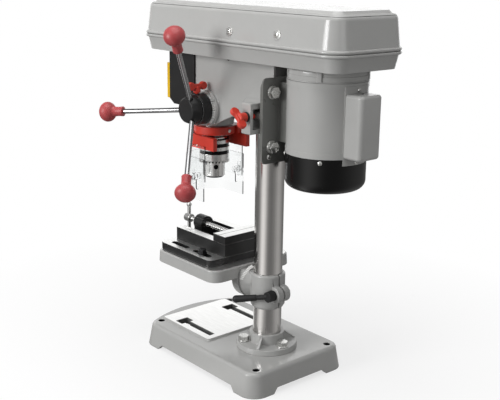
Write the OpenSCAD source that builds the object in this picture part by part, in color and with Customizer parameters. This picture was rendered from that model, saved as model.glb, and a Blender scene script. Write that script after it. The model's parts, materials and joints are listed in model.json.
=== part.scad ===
// Benchtop drill press with a swing-away chuck guard and a drill vice on its tilting table.
// +Z is up, the operator stands at -Y, the feed handles are at +X and the motor is at +Y.
// The origin is the middle of the four bench holes, on the bench.

/* [Base] */
// Width of the base at the bench
base_w = 206; // [196:1:240]
// Length of the base at the bench
base_l = 296; // [286:1:330]
// Height of the base casting
base_h = 39; // [32:1:46]
// Corner radius of the base
base_corner = 28; // [24:1:34]
// How far the front edge of the base bows out
base_bow = 18; // [10:1:22]
// How far each side of the base leans in
base_draft = 6; // [2:0.5:9]
// Wall of the base casting
base_wall = 7; // [5:0.5:9]
// Bench hole spacing across
hole_pitch_x = 155; // [145:1:160]
// Bench hole spacing front to back
hole_pitch_y = 253; // [240:1:258]
// Bench hole diameter
bench_hole_d = 11; // [8:0.5:13]
// Length of each corner foot along the sides
foot_l = 46; // [38:1:60]
// Height of the arch between two feet
arch_h = 8; // [4:1:12]
// Width of the machined work plate
plate_w = 145; // [120:1:160]
// Length of the machined work plate
plate_l = 134; // [110:1:136]
// Height of the work plate above the base
plate_rise = 3; // [2:0.5:5]
// Distance from the base middle to the column axis
column_y = 64; // [60:1:70]

/* [Column] */
// Column diameter
column_d = 46; // [42:0.5:48]
// Column wall
column_wall = 4; // [3:0.5:6]
// Height of the head's top face
head_top = 508; // [480:1:560]
// Diameter of the column flange
flange_d = 100; // [94:1:108]
// Thickness of the column flange
flange_t = 9; // [7:0.5:12]
// Bolt circle of the flange
flange_pcd = 77; // [75:0.5:80]

/* [Head] */
// Distance from the column axis to the spindle axis
throat = 140; // [134:1:146]
// Width of the head casting
head_w = 70; // [68:1:76]
// Height of the head's side walls
head_h = 93; // [88:1:98]
// Thickness of the head's side walls
head_wall = 5; // [4:0.5:7]
// Height of the feed shaft above the foot of the quill boss
feed_rise = 32; // [30:0.5:36]
// Quill diameter
quill_d = 40; // [38:0.5:42]
// Quill stroke
quill_stroke = 50; // [40:1:52]
// Gear module of the quill rack
rack_module = 1.25; // [1.25:0.05:1.3]
// Teeth on the feed pinion
pinion_teeth = 14; // [13:1:15]

/* [Feed handle] */
// Length of a handle rod from the hub axis to the knob
rod_l = 122; // [110:1:140]
// Handle rod diameter
rod_d = 8; // [7:0.5:10]
// Outward lean of the handle rods
rod_lean = 29; // [24:1:30]
// Knob ball diameter
knob_d = 33; // [28:1:40]
// Hub diameter
hub_d = 47; // [44:1:50]
// Depth ring diameter
depth_ring_d = 50; // [46:1:52]

/* [Chuck] */
// Chuck sleeve diameter
chuck_d = 50; // [46:0.5:52]
// Chuck nose diameter
nose_d = 35.6; // [35:0.2:38]
// Chuck length
chuck_l = 70; // [68:1:74]
// Jaw pin diameter
jaw_d = 7; // [6.4:0.1:7.4]
// Slope of the jaws to the chuck axis
jaw_slope = 16; // [14:0.5:17]
// Widest drill that the chuck takes
chuck_capacity = 13; // [12:0.5:13]

/* [Guard] */
// Half width of the red guard frame
guard_r = 38.7; // [37.5:0.1:41]
// Height of the guard frame
guard_frame_h = 21; // [16:1:24]
// Thickness of the clear panels
panel_t = 2; // [1.5:0.1:3]
// Height of the sliding visor
visor_h = 71; // [64:1:72]
// Upward travel of the visor
visor_travel = 20; // [10:1:22]

/* [Belt housing] */
// Width of the housing at its lip
housing_w = 144; // [138:1:156]
// Length of the housing at its lip
housing_l = 453; // [446:1:470]
// Height of the pan under the lip
pan_h = 25; // [20:1:28]
// Height of the lid over the lip
lid_h = 51; // [50:1:58]
// Corner radius of the housing
housing_corner = 30; // [26:1:36]
// Sheet thickness of pan and lid
housing_wall = 2.5; // [2:0.1:3.5]
// Rise of the pressed panel on the lid
lid_panel_rise = 4; // [2:0.5:6]
// Pulley step pitch
step_h = 11; // [10.5:0.1:11.2]
// Rim diameter of the middle pulley step
pulley_mid_d = 66; // [60:1:70]
// Difference in diameter between two pulley steps
step_dd = 13; // [11:0.5:14]

/* [Motor] */
// Distance from the column axis to the motor axis
motor_y = 120; // [114:1:126]
// Motor body diameter
motor_d = 117; // [110:1:120]
// Motor body length between end bell and fan cover
motor_l = 106; // [96:1:112]
// Height of the fan cover
fan_cover_h = 52; // [44:1:56]
// Belt slack travel of the motor slide
slack_travel = 5.5; // [3:0.5:5.5]
// Slide bar diameter
bar_d = 14; // [12:0.5:16]
// Spacing of the two slide bars
bar_pitch = 116; // [116:0.5:118]
// Capacitor box width
capacitor_w = 39; // [32:1:46]
// Capacitor box height
capacitor_h = 86; // [76:1:96]

/* [Table] */
// Table width
table_w = 170; // [166:1:190]
// Table length
table_l = 163; // [160:1:180]
// Height of the table's top
table_top = 172; // [160:1:174]
// Height of the table rim
table_rim = 20; // [16:1:22]
// Corner radius of the table
table_corner = 20; // [16:1:26]
// Depth of the tilt axis under the table top
tilt_drop = 24; // [22:0.5:28]
// Radius of the tilt boss
tilt_r = 34; // [32:0.5:36]
// Height of the bracket's clamp collar
collar_h = 58; // [52:1:60]
// Outside diameter of the clamp collar
collar_d = 56; // [54:0.5:60]

/* [Vice] */
// Vice base width
vice_w = 152; // [146:1:160]
// Vice base length
vice_l = 140; // [136:1:146]
// Vice base thickness
vice_t = 11.5; // [9:0.5:13]
// Jaw width
jaw_w = 90; // [86:1:96]
// Jaw height over the table
jaw_h = 46; // [44:1:50]
// Vice screw diameter
vice_screw_d = 8; // [7:0.5:9]
// Height of the vice screw over the table
vice_screw_z = 36.5; // [35:0.5:38]
// Vice opening
vice_open = 55; // [40:1:56]

/* [Hidden] */
$fn = 96;

// Running clearance of a shaft in its bore, on the radius
fit = 0.05;
// Air between pieces that move past each other
air = 0.5;
// How far a cutter runs past the face that it cuts
over = 1;

// Base
base_top = 9;
base_edge = 7;
bench_boss_d = 26;
plate_front = 12;
plate_corner = 8;
slot_w = 10;
slot_l = 86;
slot_head_w = 24;
slot_head_l = 17;
slot_pitch = 102;
slot_inset = 33;
slot_depth = base_top + plate_rise + 2 * over;
plate_y = plate_front + plate_l / 2 - base_l / 2;
bow_x = base_w / 2 - base_corner;
bow_r = (bow_x * bow_x + base_bow * base_bow + 2 * base_bow * base_corner) / 2 / base_bow;
bow_y = bow_r - base_l / 2 - base_bow;
bow_angle = atan(bow_x / (bow_y + base_l / 2 - base_corner));
bolt_d = 10;
bolt_hole_d = bolt_d + 0.5;
washer_d = 18;
washer_t = 2;
hex_d = 18;
hex_h = 7;
flange_collar_d = 57;
flange_collar_h = 26;
flange_rib_t = 5;
flange_top = base_h + flange_t;
bolt_angles = [-30, 90, 210];
rib_angles = [30, 150, 270];

// Head and quill
spindle_y = column_y - throat;
head_z = head_top - head_h;
head_roof = 8;
column_top = head_top - head_roof;
head_front = spindle_y - 15;
head_rear = column_y + 43;
head_corner = 6;
switch_lap = 4;
boss_z = head_z - 26;
quill_boss_d = 66;
column_boss_d = column_d + 16;
feed_z = boss_z + feed_rise;
pinion_r = rack_module * pinion_teeth / 2;
rack_addendum = 0.8 * rack_module;
rack_dedendum = 1.25 * rack_module;
rack_pitch = PI * rack_module;
rack_pitch_y = quill_d / 2 - rack_addendum;
feed_y = spindle_y + rack_pitch_y + pinion_r;
pressure_angle = 20;
backlash = 0.3;
pinion_w = 12;
pinion_tip_r = pinion_r + rack_module;
pinion_root_r = pinion_r - 1.1 * rack_module;
feed_shaft_d = 14;
feed_bush_d = 20.2;
feed_boss_d = 58;
feed_tube_d = 36;
feed_boss_x = head_w / 2 + 5;
spring_boss_x = head_w / 2 + 2;
quill_collar_d = quill_d + 3;
quill_z = boss_z - 19;
quill_collar_h = boss_z - quill_z - 1;
quill_top = feed_z + quill_stroke + 13;
quill_bearing_d = 32;
quill_bearing_h = 10;
quill_bore_d = 22;
spindle_d = 17;
pulley_bearing_d = 42;
pulley_bearing_h = 9.5;
pulley_bearing_z = head_top - 2 * pulley_bearing_h - 1;
pulley_sleeve_d = 25;
ear_w = bar_pitch / 2 + bar_d / 2 + 14 - head_w / 2;
ear_l = 60;
ear_face_l = 20;
ear_h = 46;
ear_z = head_z - 10;
ear_pocket = [19, 12, 30];
bar_z = ear_z + 26;
bar_x = bar_pitch / 2;

// Feed handle
scale_t = 7;
scale_d = 54;
scale_x = feed_boss_x;
depth_ring_x = scale_x + scale_t + air;
depth_ring_w = 16;
hub_sleeve_d = 30;
hub_x = depth_ring_x + depth_ring_w + air;
hub_w = 17;
hub_face_d = hub_d - 11;
rod_angles = [66, 186, 306];
rod_seat = 12;
rod_x = hub_x + 2;
knob_neck_d = knob_d / 2;
knob_neck_l = knob_d + 1;
knob_fillet = 6;
rod_in_knob = 14;
lock_stem_d = 6;
lock_x = depth_ring_x + 10.5;
lock_wing_l = 2 * (lock_x - head_w / 2 - switch_lap - air);
spring_cap_d = 54;
spring_cap_w = 20;
spring_cap_wall = 2.5;
spring_turns = 4;
spring_strip = 1.2;
spring_w = 10;

// Chuck
chuck_top = quill_z - 2;
chuck_z = chuck_top - chuck_l;
sleeve_z = chuck_z + 26;
sleeve_h = 41;
sleeve_seat_h = 20;
chuck_core_d = chuck_d - 10;
sleeve_relief_d = chuck_d - 5;
sleeve_teeth = 28;
tooth_h = 5;
taper_l = 22;
taper_d1 = 14.6;
taper_d2 = 16;
jaw_l = 28;
jaw_tip_z = chuck_z + 2;
jaw_tip_rho = chuck_capacity / 2 + 2.1;
key_hole_d = 8;

// Guard
guard_ring_z = quill_z + 3;
guard_ring_h = 13;
guard_ring_d = 68;
guard_bar = 8;
guard_top = guard_ring_z - air;
guard_low = guard_top - guard_frame_h;
guard_curve_y = spindle_y - 8;
guard_arm_y = spindle_y + 45.5;
guard_pin_d = 5;
guard_pin_x = guard_bar / 2 - guard_r;
guard_pin_y = spindle_y + 13;
panel_rear = spindle_y + 25;
panel_low = guard_low - 54;
visor_r = guard_r + panel_t + air;
visor_low = panel_low - 33;
nut_y = spindle_y + 7.5;
nut_z = panel_low + 8;
nut_d = 5;
nut_reach = 9;

// Belt housing and pulleys
pan_t = 3;
lip_z = head_top + pan_h;
lid_z = lip_z + 0.3;
pan_draft = 6;
lid_draft = 5;
lid_edge = 9;
bead_r = 2.5;
housing_y = column_y - throat - 108 + housing_l / 2;
hinge_x = -housing_w / 2 - 5;
hinge_d = 9;
hinge_pin_d = 4;
hinge_y = [-120, 140];
hinge_knuckle = 16;
motor_axis = column_y + motor_y;
pulley_steps = 5;
pulley_z = head_top + pan_t + 6;
groove_depth = 7;
groove_rim = 1;
groove_floor = 5;
belt_h = 6;
belt_gap = 0.35;
belt_z = pulley_z + step_h * pulley_steps / 2;
motor_shaft_d = 14;
spline_d = 13;
spline_key = 15.6;
spline_w = 4;
spline_gap = 0.1;
spline_top = pulley_z + pulley_steps * step_h - 2;
pan_spindle_hole_d = 48;
pan_motor_hole_d = 34;

// Motor
motor_top = head_top - 1.5;
bell_h = 16.5;
shell_z = motor_top - bell_h - motor_l;
fan_z = shell_z - fan_cover_h;
fan_cover_d = motor_d + 2;
fan_cover_wall = 2.5;
fan_edge = 14;
shell_ring_h = 8;
fan_blades = 7;
fan_hub_d = 28;
vent_count = 12;
foot_t = 3;
foot_w = bar_pitch + bar_d + 2;
foot_z = shell_z - 23;
foot_h = 127;
foot_y = column_y + 55;
foot_web_w = 68;
foot_web_back = 40;
foot_corner = 8;
motor_bolt_x = 48;
motor_bolt_z = [shell_z + 2, shell_z + 83];
slide_plate_h = 106;
capacitor_depth = 27.5;
capacitor_z = shell_z + 2;
capacitor_edge = 8;
capacitor_flange = 7;
capacitor_flange_depth = 9;
tension_y = head_rear - 8;
tension_d = 8;
bar_bore_y = head_rear - 29;

// Table, bracket and clamp
mate_y = column_y - 34;
table_y = mate_y - table_l / 2;
table_t = 8;
table_wall = 6;
tilt_z = table_top - tilt_drop;
tilt_boss_t = 16;
tilt_gap = 0.1;
tilt_bolt_d = 10;
table_slot_x = 60;
table_slot_l = 70;
collar_z = table_top - 5.5 - collar_h;
slit_w = 2.5;
clamp_y = column_y + 28;
clamp_z = collar_z + 27;
clamp_ear_r = 13.5;
clamp_ear_w = 25;
clamp_bolt_d = 8;
lever_dir = [0.575, -0.8, -0.17];
lever_l = 56;
lever_hub_d = 17;

// Vice
vice_rear = mate_y - 22;
vice_y = vice_rear - vice_l / 2;
vice_corner = 12;
vice_wall_x = 28;
vice_wall_h = 33;
vice_slot_w = 10;
vice_slot_l = 44;
vice_slot_y = vice_slot_l / 2 + 8;
fixed_jaw_t = 17;
moving_jaw_t = 13;
jaw_gap = 0.4;
jaw_tongue_l = 30;
nut_ring_d = 27;
nut_ring_t = 22;
nut_ring_y = vice_rear - vice_l + 36;
screw_z = table_top + vice_screw_z;
screw_head_d = 15;
screw_head_y = vice_rear - vice_l - 16;
vice_bar_d = 6;
vice_bar_l = 48;
bar_ball_d = 9;

// Switch
switch_w = head_w + 2 * switch_lap;
switch_wall = 3;
switch_front = spindle_y - 73;
switch_rear = head_front + head_corner + 3.5;
switch_z = head_z + 2;
switch_h = head_h - 5;
switch_chamfer = [12, 8];
flap_w = 74;
flap_h = 62;
flap_t = 13;
flap_wall = 2.5;
flap_rim = 5;
flap_top = switch_z + 70;
flap_pin_d = 3.5;
flap_hinge_y = switch_front - 5;
flap_hinge_z = flap_top + 2;
mushroom_d = 38;
mushroom_z = flap_top - 32;
button_travel = 4;
start_d = 16;
start_z = flap_top - 16;

paint = "#b7b5ad";
black = "#232323";
red = "#c8342c";
steel = "#c9c9c9";
clear = "#dfe9ee";

// Rounded rectangle with true corner arcs, middle at the origin
module rounded_rect(w, l, r) {
  square([w - 2 * r, l], center = true);
  square([w, l - 2 * r], center = true);
  for (sx = [-1, 1], sy = [-1, 1]) translate([sx * (w / 2 - r), sy * (l / 2 - r)]) circle(r);
}

// Carries a profile round a rounded rectangle; the profile's x runs outward from the corner centres
module sweep_rect(w, l, r) {
  for (k = [0:3]) {
    sx = (k == 0 || k == 3) ? 1 : -1;
    sy = k < 2 ? 1 : -1;
    translate([sx * (w / 2 - r), sy * (l / 2 - r), 0]) rotate(90 * k) rotate_extrude(angle = 90) children();
  }
  for (a = [0, 180]) rotate(a) translate([w / 2 - r, 0, 0]) rotate([90, 0, 0])
    linear_extrude(l - 2 * r, center = true) children();
  for (a = [90, 270]) rotate(a) translate([l / 2 - r, 0, 0]) rotate([90, 0, 0])
    linear_extrude(w - 2 * r, center = true) children();
}

// Half section of a drafted block with a rounded top edge
module side_profile(r, h, draft, edge) {
  polygon([[0, 0], [r, 0], [r - draft, h - edge], [r - draft - edge, h], [0, h]]);
  translate([r - draft - edge, h - edge]) circle(edge);
}

// Open-bottomed shell: drafted sides, rounded top edge, given wall and roof
module shell_tray(w, l, r, h, draft, edge, wall, roof) {
  sweep_rect(w, l, r) difference() {
    side_profile(r, h, draft, edge);
    polygon([[-over, -over], [r - wall, -over], [r - wall - draft * (h - roof) / h, h - roof],
             [-over, h - roof]]);
  }
  translate([0, 0, h - roof / 2]) cube([w - 2 * r, l - 2 * r, roof], center = true);
}

// Round bar along +X
module x_bar(d, x0, x1) {
  translate([x0, 0, 0]) rotate([0, 90, 0]) cylinder(d = d, h = x1 - x0);
}

// Round bar along +Y
module y_bar(d, y0, y1) {
  translate([0, y1, 0]) rotate([90, 0, 0]) cylinder(d = d, h = y1 - y0);
}

// Ring about the Z axis
module tube(d, bore, h) {
  difference() {
    cylinder(d = d, h = h);
    translate([0, 0, -over]) cylinder(d = bore, h = h + 2 * over);
  }
}

// Hexagon bolt standing on z = 0 with its washer, shank downwards
module hex_bolt(d, shank, head_d, head_h, ring_d, ring_t) {
  translate([0, 0, ring_t]) cylinder(d = head_d, h = head_h, $fn = 6);
  cylinder(d = ring_d, h = ring_t);
  translate([0, 0, -shank]) cylinder(d = d, h = shank + ring_t);
}

module at_flange_bolts() {
  for (a = bolt_angles) translate([0, column_y, 0]) rotate(a) translate([flange_pcd / 2, 0, 0]) children();
}

module at_bench_holes() {
  for (sx = [-1, 1], sy = [-1, 1]) translate([sx * hole_pitch_x / 2, sy * hole_pitch_y / 2, 0]) children();
}

// Arch between two feet, cut along Y through the walls of a base of the given length
module arch_cut(span, through) {
  half = span / 2 - foot_l;
  rotate([90, 0, 0]) linear_extrude(through + 2 * over, center = true)
    polygon([[-half - over, -over], [half + over, -over], [half - arch_h, arch_h], [arch_h - half, arch_h]]);
}

// Thin slice of the base outline at height z, set in by the given margin: rounded corners, bowed front
module base_slice(z, margin) {
  x = base_w / 2 - base_corner;
  y = base_l / 2 - base_corner;
  translate([0, 0, z]) linear_extrude(0.01) {
    for (sx = [-1, 1], sy = [-1, 1]) translate([sx * x, sy * y]) circle(base_corner - margin, $fn = 64);
    intersection() {
      translate([0, bow_y]) circle(bow_r - margin, $fn = 180);
      translate([-x, -base_l]) square([2 * x, base_l]);
    }
  }
}

module base() {
  color(paint) difference() {
    union() {
      difference() {
        hull() {
          base_slice(0, 0);
          for (a = [0:22.5:90])
            base_slice(base_h - base_edge + base_edge * sin(a) - 0.01, base_draft + base_edge * (1 - cos(a)));
        }
        hull() {
          base_slice(-over, base_wall);
          base_slice(base_h - base_top - 0.01, base_wall + base_draft);
        }
      }
      at_bench_holes() cylinder(d = bench_boss_d, h = base_h - base_top / 2);
      translate([0, plate_y, base_h]) {
        sweep_rect(plate_w, plate_l, plate_corner)
          polygon([[0, -over], [plate_corner, -over], [plate_corner, 0],
                   [plate_corner - plate_rise, plate_rise], [0, plate_rise]]);
        translate([2 * plate_corner - plate_w, 2 * plate_corner - plate_l, -2 * over] / 2)
          cube([plate_w - 2 * plate_corner, plate_l - 2 * plate_corner, plate_rise + over]);
      }
    }
    rotate(90) arch_cut(base_l, base_w);
    arch_cut(base_w, base_l + 2 * base_bow);
    at_bench_holes() translate([0, 0, -over]) cylinder(d = bench_hole_d, h = base_h + 2 * over);
    at_flange_bolts() translate([0, 0, base_h - base_top - over])
      cylinder(d = bolt_hole_d, h = base_top + 2 * over);
    for (sx = [-1, 1])
      translate([sx * slot_pitch / 2, plate_y - plate_l / 2 + slot_inset, base_h - base_top - over]) {
      translate([-slot_w / 2, 0, 0]) cube([slot_w, slot_l, slot_depth]);
      translate([-slot_head_w / 2, 0, 0]) cube([slot_head_w, slot_head_l, slot_depth]);
    }
  }
}

module column_flange() {
  color(paint) translate([0, column_y, base_h]) difference() {
    union() {
      cylinder(d1 = flange_d, d2 = flange_d - 2, h = flange_t);
      cylinder(d = flange_collar_d, h = flange_collar_h);
      for (a = rib_angles) rotate(a) rotate([90, 0, 0]) linear_extrude(flange_rib_t, center = true)
        polygon([[column_d / 2 + over, over], [flange_d / 2 - 3, over], [flange_d / 2 - 3, flange_t + 1],
                 [flange_collar_d / 2, flange_collar_h - 3], [column_d / 2 + over, flange_collar_h - 3]]);
    }
    translate([0, 0, -over]) cylinder(d = column_d, h = flange_collar_h + 2 * over);
    for (a = bolt_angles) rotate(a) translate([flange_pcd / 2, 0, -over])
      cylinder(d = bolt_hole_d, h = flange_t + 2 * over);
  }
}

module flange_bolts() {
  grip = flange_t + base_top;
  color(steel) at_flange_bolts() translate([0, 0, flange_top]) {
    hex_bolt(bolt_d, grip + hex_h + 2, hex_d, hex_h, washer_d, washer_t);
    translate([0, 0, -grip - hex_h]) cylinder(d = hex_d, h = hex_h, $fn = 6);
  }
}

module column() {
  color(steel) translate([0, column_y, base_h])
    tube(column_d, column_d - 2 * column_wall, column_top - base_h);
}

// Plan outline of the head between its front and an open rear, set in by the given margin
module head_plan(margin, rear) {
  half = head_w / 2 - margin;
  front = head_front + margin;
  round_r = head_corner - margin;
  translate([-half, front + round_r]) square([2 * half, rear - front - round_r]);
  translate([round_r - half, front]) square([2 * (half - round_r), round_r]);
  for (sx = [-1, 1]) translate([sx * (half - round_r), front + round_r]) circle(round_r);
}

// Ear on one side of the head's rear that guides a slide bar
module head_ear() {
  translate([0, head_rear, ear_z]) linear_extrude(ear_h)
    polygon([[head_w / 2 - head_wall, 0], [head_w / 2 + ear_w, 0], [head_w / 2 + ear_w, -ear_face_l],
             [head_w / 2, -ear_l], [head_w / 2 - head_wall, -ear_l]]);
}

// Skirt under a side wall, down to the foot of the quill boss
module head_skirt() {
  rotate([90, 0, 90]) linear_extrude(head_wall)
    polygon([[spindle_y - 2, boss_z + 6], [feed_y + 14, boss_z + 6], [feed_y + 62, head_z + over],
             [spindle_y - 2, head_z + over]]);
}

module head_casting() {
  color(paint) difference() {
    union() {
      difference() {
        translate([0, 0, head_z]) linear_extrude(head_h) head_plan(0, head_rear);
        translate([0, 0, head_z - over]) linear_extrude(head_h - head_roof + over)
          head_plan(head_wall, head_rear + over);
      }
      translate([0, spindle_y, boss_z]) cylinder(d = quill_boss_d, h = head_top - boss_z);
      translate([0, column_y, head_z - 10]) cylinder(d = column_boss_d, h = head_h + 8);
      translate([0, feed_y, feed_z]) {
        x_bar(feed_tube_d, 1 - head_w / 2, head_w / 2 - 1);
        x_bar(feed_boss_d, head_w / 2 - head_wall, feed_boss_x);
        x_bar(feed_boss_d, -spring_boss_x, head_wall - head_w / 2);
      }
      translate([head_w / 2 - head_wall, 0, 0]) head_skirt();
      translate([-head_w / 2, 0, 0]) head_skirt();
      head_ear();
      mirror([1, 0, 0]) head_ear();
    }
    translate([0, spindle_y, boss_z - over])
      cylinder(d = quill_d + 2 * fit, h = pulley_bearing_z - boss_z + 2 * over);
    translate([0, spindle_y, pulley_bearing_z])
      cylinder(d = pulley_bearing_d, h = head_top - pulley_bearing_z + over);
    translate([0, column_y, head_z - 10 - over]) cylinder(d = column_d, h = column_top - head_z + 10 + over);
    translate([0, feed_y, feed_z]) {
      x_bar(feed_shaft_d + 2 * fit, -spring_boss_x - over, feed_boss_x);
      x_bar(feed_bush_d, pinion_w / 2 + 14, feed_boss_x + over);
      x_bar(2 * pinion_tip_r + 2, -pinion_w / 2 - 2, pinion_w / 2 + 2);
    }
    for (sx = [-1, 1]) translate([sx * bar_x, 0, bar_z])
      y_bar(bar_d + 2 * fit, bar_bore_y, head_rear + over);
    for (sx = [-1, 1]) translate([sx * (bar_x + 5.5), head_rear, ear_z + ear_h / 2 - over])
      cube([ear_pocket[0], 2 * ear_pocket[1], ear_pocket[2]], center = true);
    translate([0, tension_y, bar_z]) x_bar(tension_d + 2 * fit, bar_x, head_w / 2 + ear_w + over);
  }
}

// Room for one row of hinge knuckles, at the given offsets along the housing
module knuckle_room(offsets) {
  for (y = hinge_y, k = offsets) translate([hinge_x, housing_y + y + k * (hinge_knuckle + air), lip_z])
    y_bar(hinge_d + 2 * air, -hinge_knuckle / 2 - air, hinge_knuckle / 2 + air);
}

module belt_pan() {
  floor_r = housing_corner - pan_draft;
  leaf = -hinge_x - housing_w / 2 + housing_wall;
  color(paint) difference() {
    union() {
      difference() {
        translate([0, housing_y, head_top]) {
          sweep_rect(housing_w, housing_l, housing_corner) {
            difference() {
              polygon([[0, 0], [floor_r, 0], [housing_corner, pan_h], [0, pan_h]]);
              polygon([[-over, pan_t], [floor_r - housing_wall, pan_t],
                       [housing_corner - housing_wall, pan_h + over], [-over, pan_h + over]]);
            }
            translate([housing_corner, pan_h - bead_r]) circle(bead_r);
          }
          translate([0, 0, pan_t / 2])
            cube([housing_w - 2 * housing_corner, housing_l - 2 * housing_corner, pan_t], center = true);
        }
        knuckle_room([-1, 1]);
      }
      for (y = hinge_y) translate([hinge_x, housing_y + y, lip_z]) {
        y_bar(hinge_d, -hinge_knuckle / 2, hinge_knuckle / 2);
        translate([0, -hinge_knuckle / 2, -hinge_d / 2]) cube([leaf, hinge_knuckle, hinge_d / 2 - 0.2]);
      }
    }
    translate([0, spindle_y, head_top - over]) cylinder(d = pan_spindle_hole_d, h = pan_t + 2 * over);
    for (dy = [-slack_travel, 0]) translate([0, motor_axis + dy, head_top - over])
      cylinder(d = pan_motor_hole_d, h = pan_t + 2 * over);
    for (y = hinge_y) translate([hinge_x, housing_y + y, lip_z])
      y_bar(hinge_pin_d, -hinge_knuckle, hinge_knuckle);
  }
}

module hinge_pins() {
  color(steel) for (y = hinge_y) translate([hinge_x, housing_y + y, lip_z])
    y_bar(hinge_pin_d, -1.5 * hinge_knuckle, 1.5 * hinge_knuckle);
}

module belt_lid() {
  inset = lid_draft + lid_edge;
  panel_r = housing_corner - inset;
  panel_w = housing_w - 2 * inset;
  panel_l = housing_l - 2 * inset;
  leaf = -hinge_x - housing_w / 2 + housing_wall;
  color(paint) difference() {
    union() {
      difference() {
        translate([0, housing_y, lid_z]) {
          shell_tray(housing_w, housing_l, housing_corner, lid_h, lid_draft, lid_edge,
                     housing_wall, housing_wall);
          sweep_rect(housing_w, housing_l, housing_corner) translate([housing_corner, bead_r]) circle(bead_r);
          translate([0, 0, lid_h]) {
            sweep_rect(panel_w, panel_l, panel_r)
              polygon([[0, -over], [panel_r, -over], [panel_r, 0],
                       [panel_r - lid_panel_rise, lid_panel_rise], [0, lid_panel_rise]]);
            translate([0, 0, (lid_panel_rise - over) / 2])
              cube([panel_w - 2 * panel_r, panel_l - 2 * panel_r, lid_panel_rise + over], center = true);
          }
        }
        knuckle_room([0]);
      }
      for (y = hinge_y, k = [-1, 1])
        translate([hinge_x, housing_y + y + k * (hinge_knuckle + air), lip_z]) {
          y_bar(hinge_d, -hinge_knuckle / 2, hinge_knuckle / 2);
          translate([0, -hinge_knuckle / 2, lid_z - lip_z])
            cube([leaf, hinge_knuckle, hinge_d / 2 - lid_z + lip_z]);
        }
    }
    for (y = hinge_y) translate([hinge_x, housing_y + y, lip_z])
      y_bar(hinge_pin_d + 2 * fit, -2 * hinge_knuckle, 2 * hinge_knuckle);
  }
}

// Half section of a stepped pulley: one V groove a step, step radii given from the bottom up
function pulley_points(radii) = concat(
  [[0, 0]],
  [for (i = [0:len(radii) - 1], p = [[0, 0], [0, groove_rim], [groove_depth, (step_h - groove_floor) / 2],
     [groove_depth, (step_h + groove_floor) / 2], [0, step_h - groove_rim], [0, step_h]])
     [radii[i] - p[0], i * step_h + p[1]]],
  [[0, len(radii) * step_h]]);

step_radii = [for (i = [0:pulley_steps - 1]) (pulley_mid_d + (2 - i) * step_dd) / 2];
step_radii_up = [for (i = [0:pulley_steps - 1]) step_radii[pulley_steps - 1 - i]];

// Four-key spline along Z, grown by the given clearance
module spline(h, clearance) {
  cylinder(d = spline_d + 2 * clearance, h = h);
  for (a = [0, 90]) rotate(a) translate([0, 0, h / 2])
    cube([spline_key + 2 * clearance, spline_w + 2 * clearance, h], center = true);
}

module spindle_pulley() {
  color("#a9adb0") translate([0, spindle_y, 0]) difference() {
    union() {
      translate([0, 0, pulley_z]) rotate_extrude() polygon(pulley_points(step_radii));
      translate([0, 0, pulley_bearing_z])
        cylinder(d = pulley_sleeve_d, h = pulley_z - pulley_bearing_z + over);
    }
    translate([0, 0, pulley_bearing_z - over])
      spline(pulley_z + pulley_steps * step_h - pulley_bearing_z + 2 * over, spline_gap);
  }
}

module motor_pulley() {
  color("#a9adb0") translate([0, motor_axis, pulley_z]) difference() {
    rotate_extrude() polygon(pulley_points(step_radii_up));
    translate([0, 0, -over]) cylinder(d = motor_shaft_d, h = pulley_steps * step_h + 2 * over);
  }
}

// Cross-section of the V belt, outside face at the rim of its step
module belt_section() {
  rim = pulley_mid_d / 2;
  top = step_h / 2 - groove_rim - belt_gap;
  low = top - (step_h / 2 - groove_rim - groove_floor / 2) * belt_h / groove_depth;
  polygon([[rim, top], [rim, -top], [rim - belt_h, -low], [rim - belt_h, low]]);
}

module v_belt() {
  color("#1c1c1c") translate([0, 0, belt_z]) {
    translate([0, spindle_y, 0]) rotate(180) rotate_extrude(angle = 180) belt_section();
    translate([0, motor_axis, 0]) rotate_extrude(angle = 180) belt_section();
    for (sx = [0, 1]) mirror([sx, 0, 0]) translate([0, motor_axis, 0]) rotate([90, 0, 0])
      linear_extrude(motor_axis - spindle_y) belt_section();
  }
}

module pulley_bearings() {
  color(steel) for (k = [0, 1])
    translate([0, spindle_y, pulley_bearing_z + k * (pulley_bearing_h + air)])
      tube(pulley_bearing_d, pulley_sleeve_d + 2 * fit, pulley_bearing_h);
}

// Gap between two rack teeth, as a trapezoid in the YZ plane pointing at the quill axis
module rack_gap() {
  half = rack_pitch / 4;
  slope = tan(pressure_angle);
  rotate([90, 0, 90]) linear_extrude(quill_d, center = true)
    polygon([[-rack_dedendum, half - rack_dedendum * slope], [-rack_dedendum, rack_dedendum * slope - half],
             [rack_addendum + over, -half - (rack_addendum + over) * slope],
             [rack_addendum + over, half + (rack_addendum + over) * slope]]);
}

module quill() {
  gaps_up = ceil((quill_stroke + 8) / rack_pitch);
  color("#8f9295") translate([0, spindle_y, 0]) difference() {
    union() {
      translate([0, 0, quill_z]) cylinder(d = quill_d, h = quill_top - quill_z);
      translate([0, 0, quill_z]) cylinder(d = quill_collar_d, h = quill_collar_h);
    }
    translate([0, 0, quill_z - over]) cylinder(d = quill_bore_d, h = quill_top - quill_z + 2 * over);
    translate([0, 0, quill_z - over]) cylinder(d = quill_bearing_d, h = quill_bearing_h + over);
    translate([0, 0, quill_top - quill_bearing_h]) cylinder(d = quill_bearing_d, h = quill_bearing_h + over);
    for (k = [-2:gaps_up]) translate([0, rack_pitch_y, feed_z + k * rack_pitch]) rack_gap();
  }
}

module quill_bearings() {
  color(steel) for (z = [quill_z, quill_top - quill_bearing_h]) translate([0, spindle_y, z])
    tube(quill_bearing_d, spindle_d + 2 * fit, quill_bearing_h);
}

module spindle() {
  color(steel) translate([0, spindle_y, 0]) {
    translate([0, 0, chuck_top - taper_l]) cylinder(d1 = taper_d1, d2 = taper_d2, h = taper_l);
    translate([0, 0, chuck_top]) cylinder(d = spindle_d, h = quill_top - chuck_top);
    translate([0, 0, quill_top - over]) spline(spline_top - quill_top + over, 0);
  }
}

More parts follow.
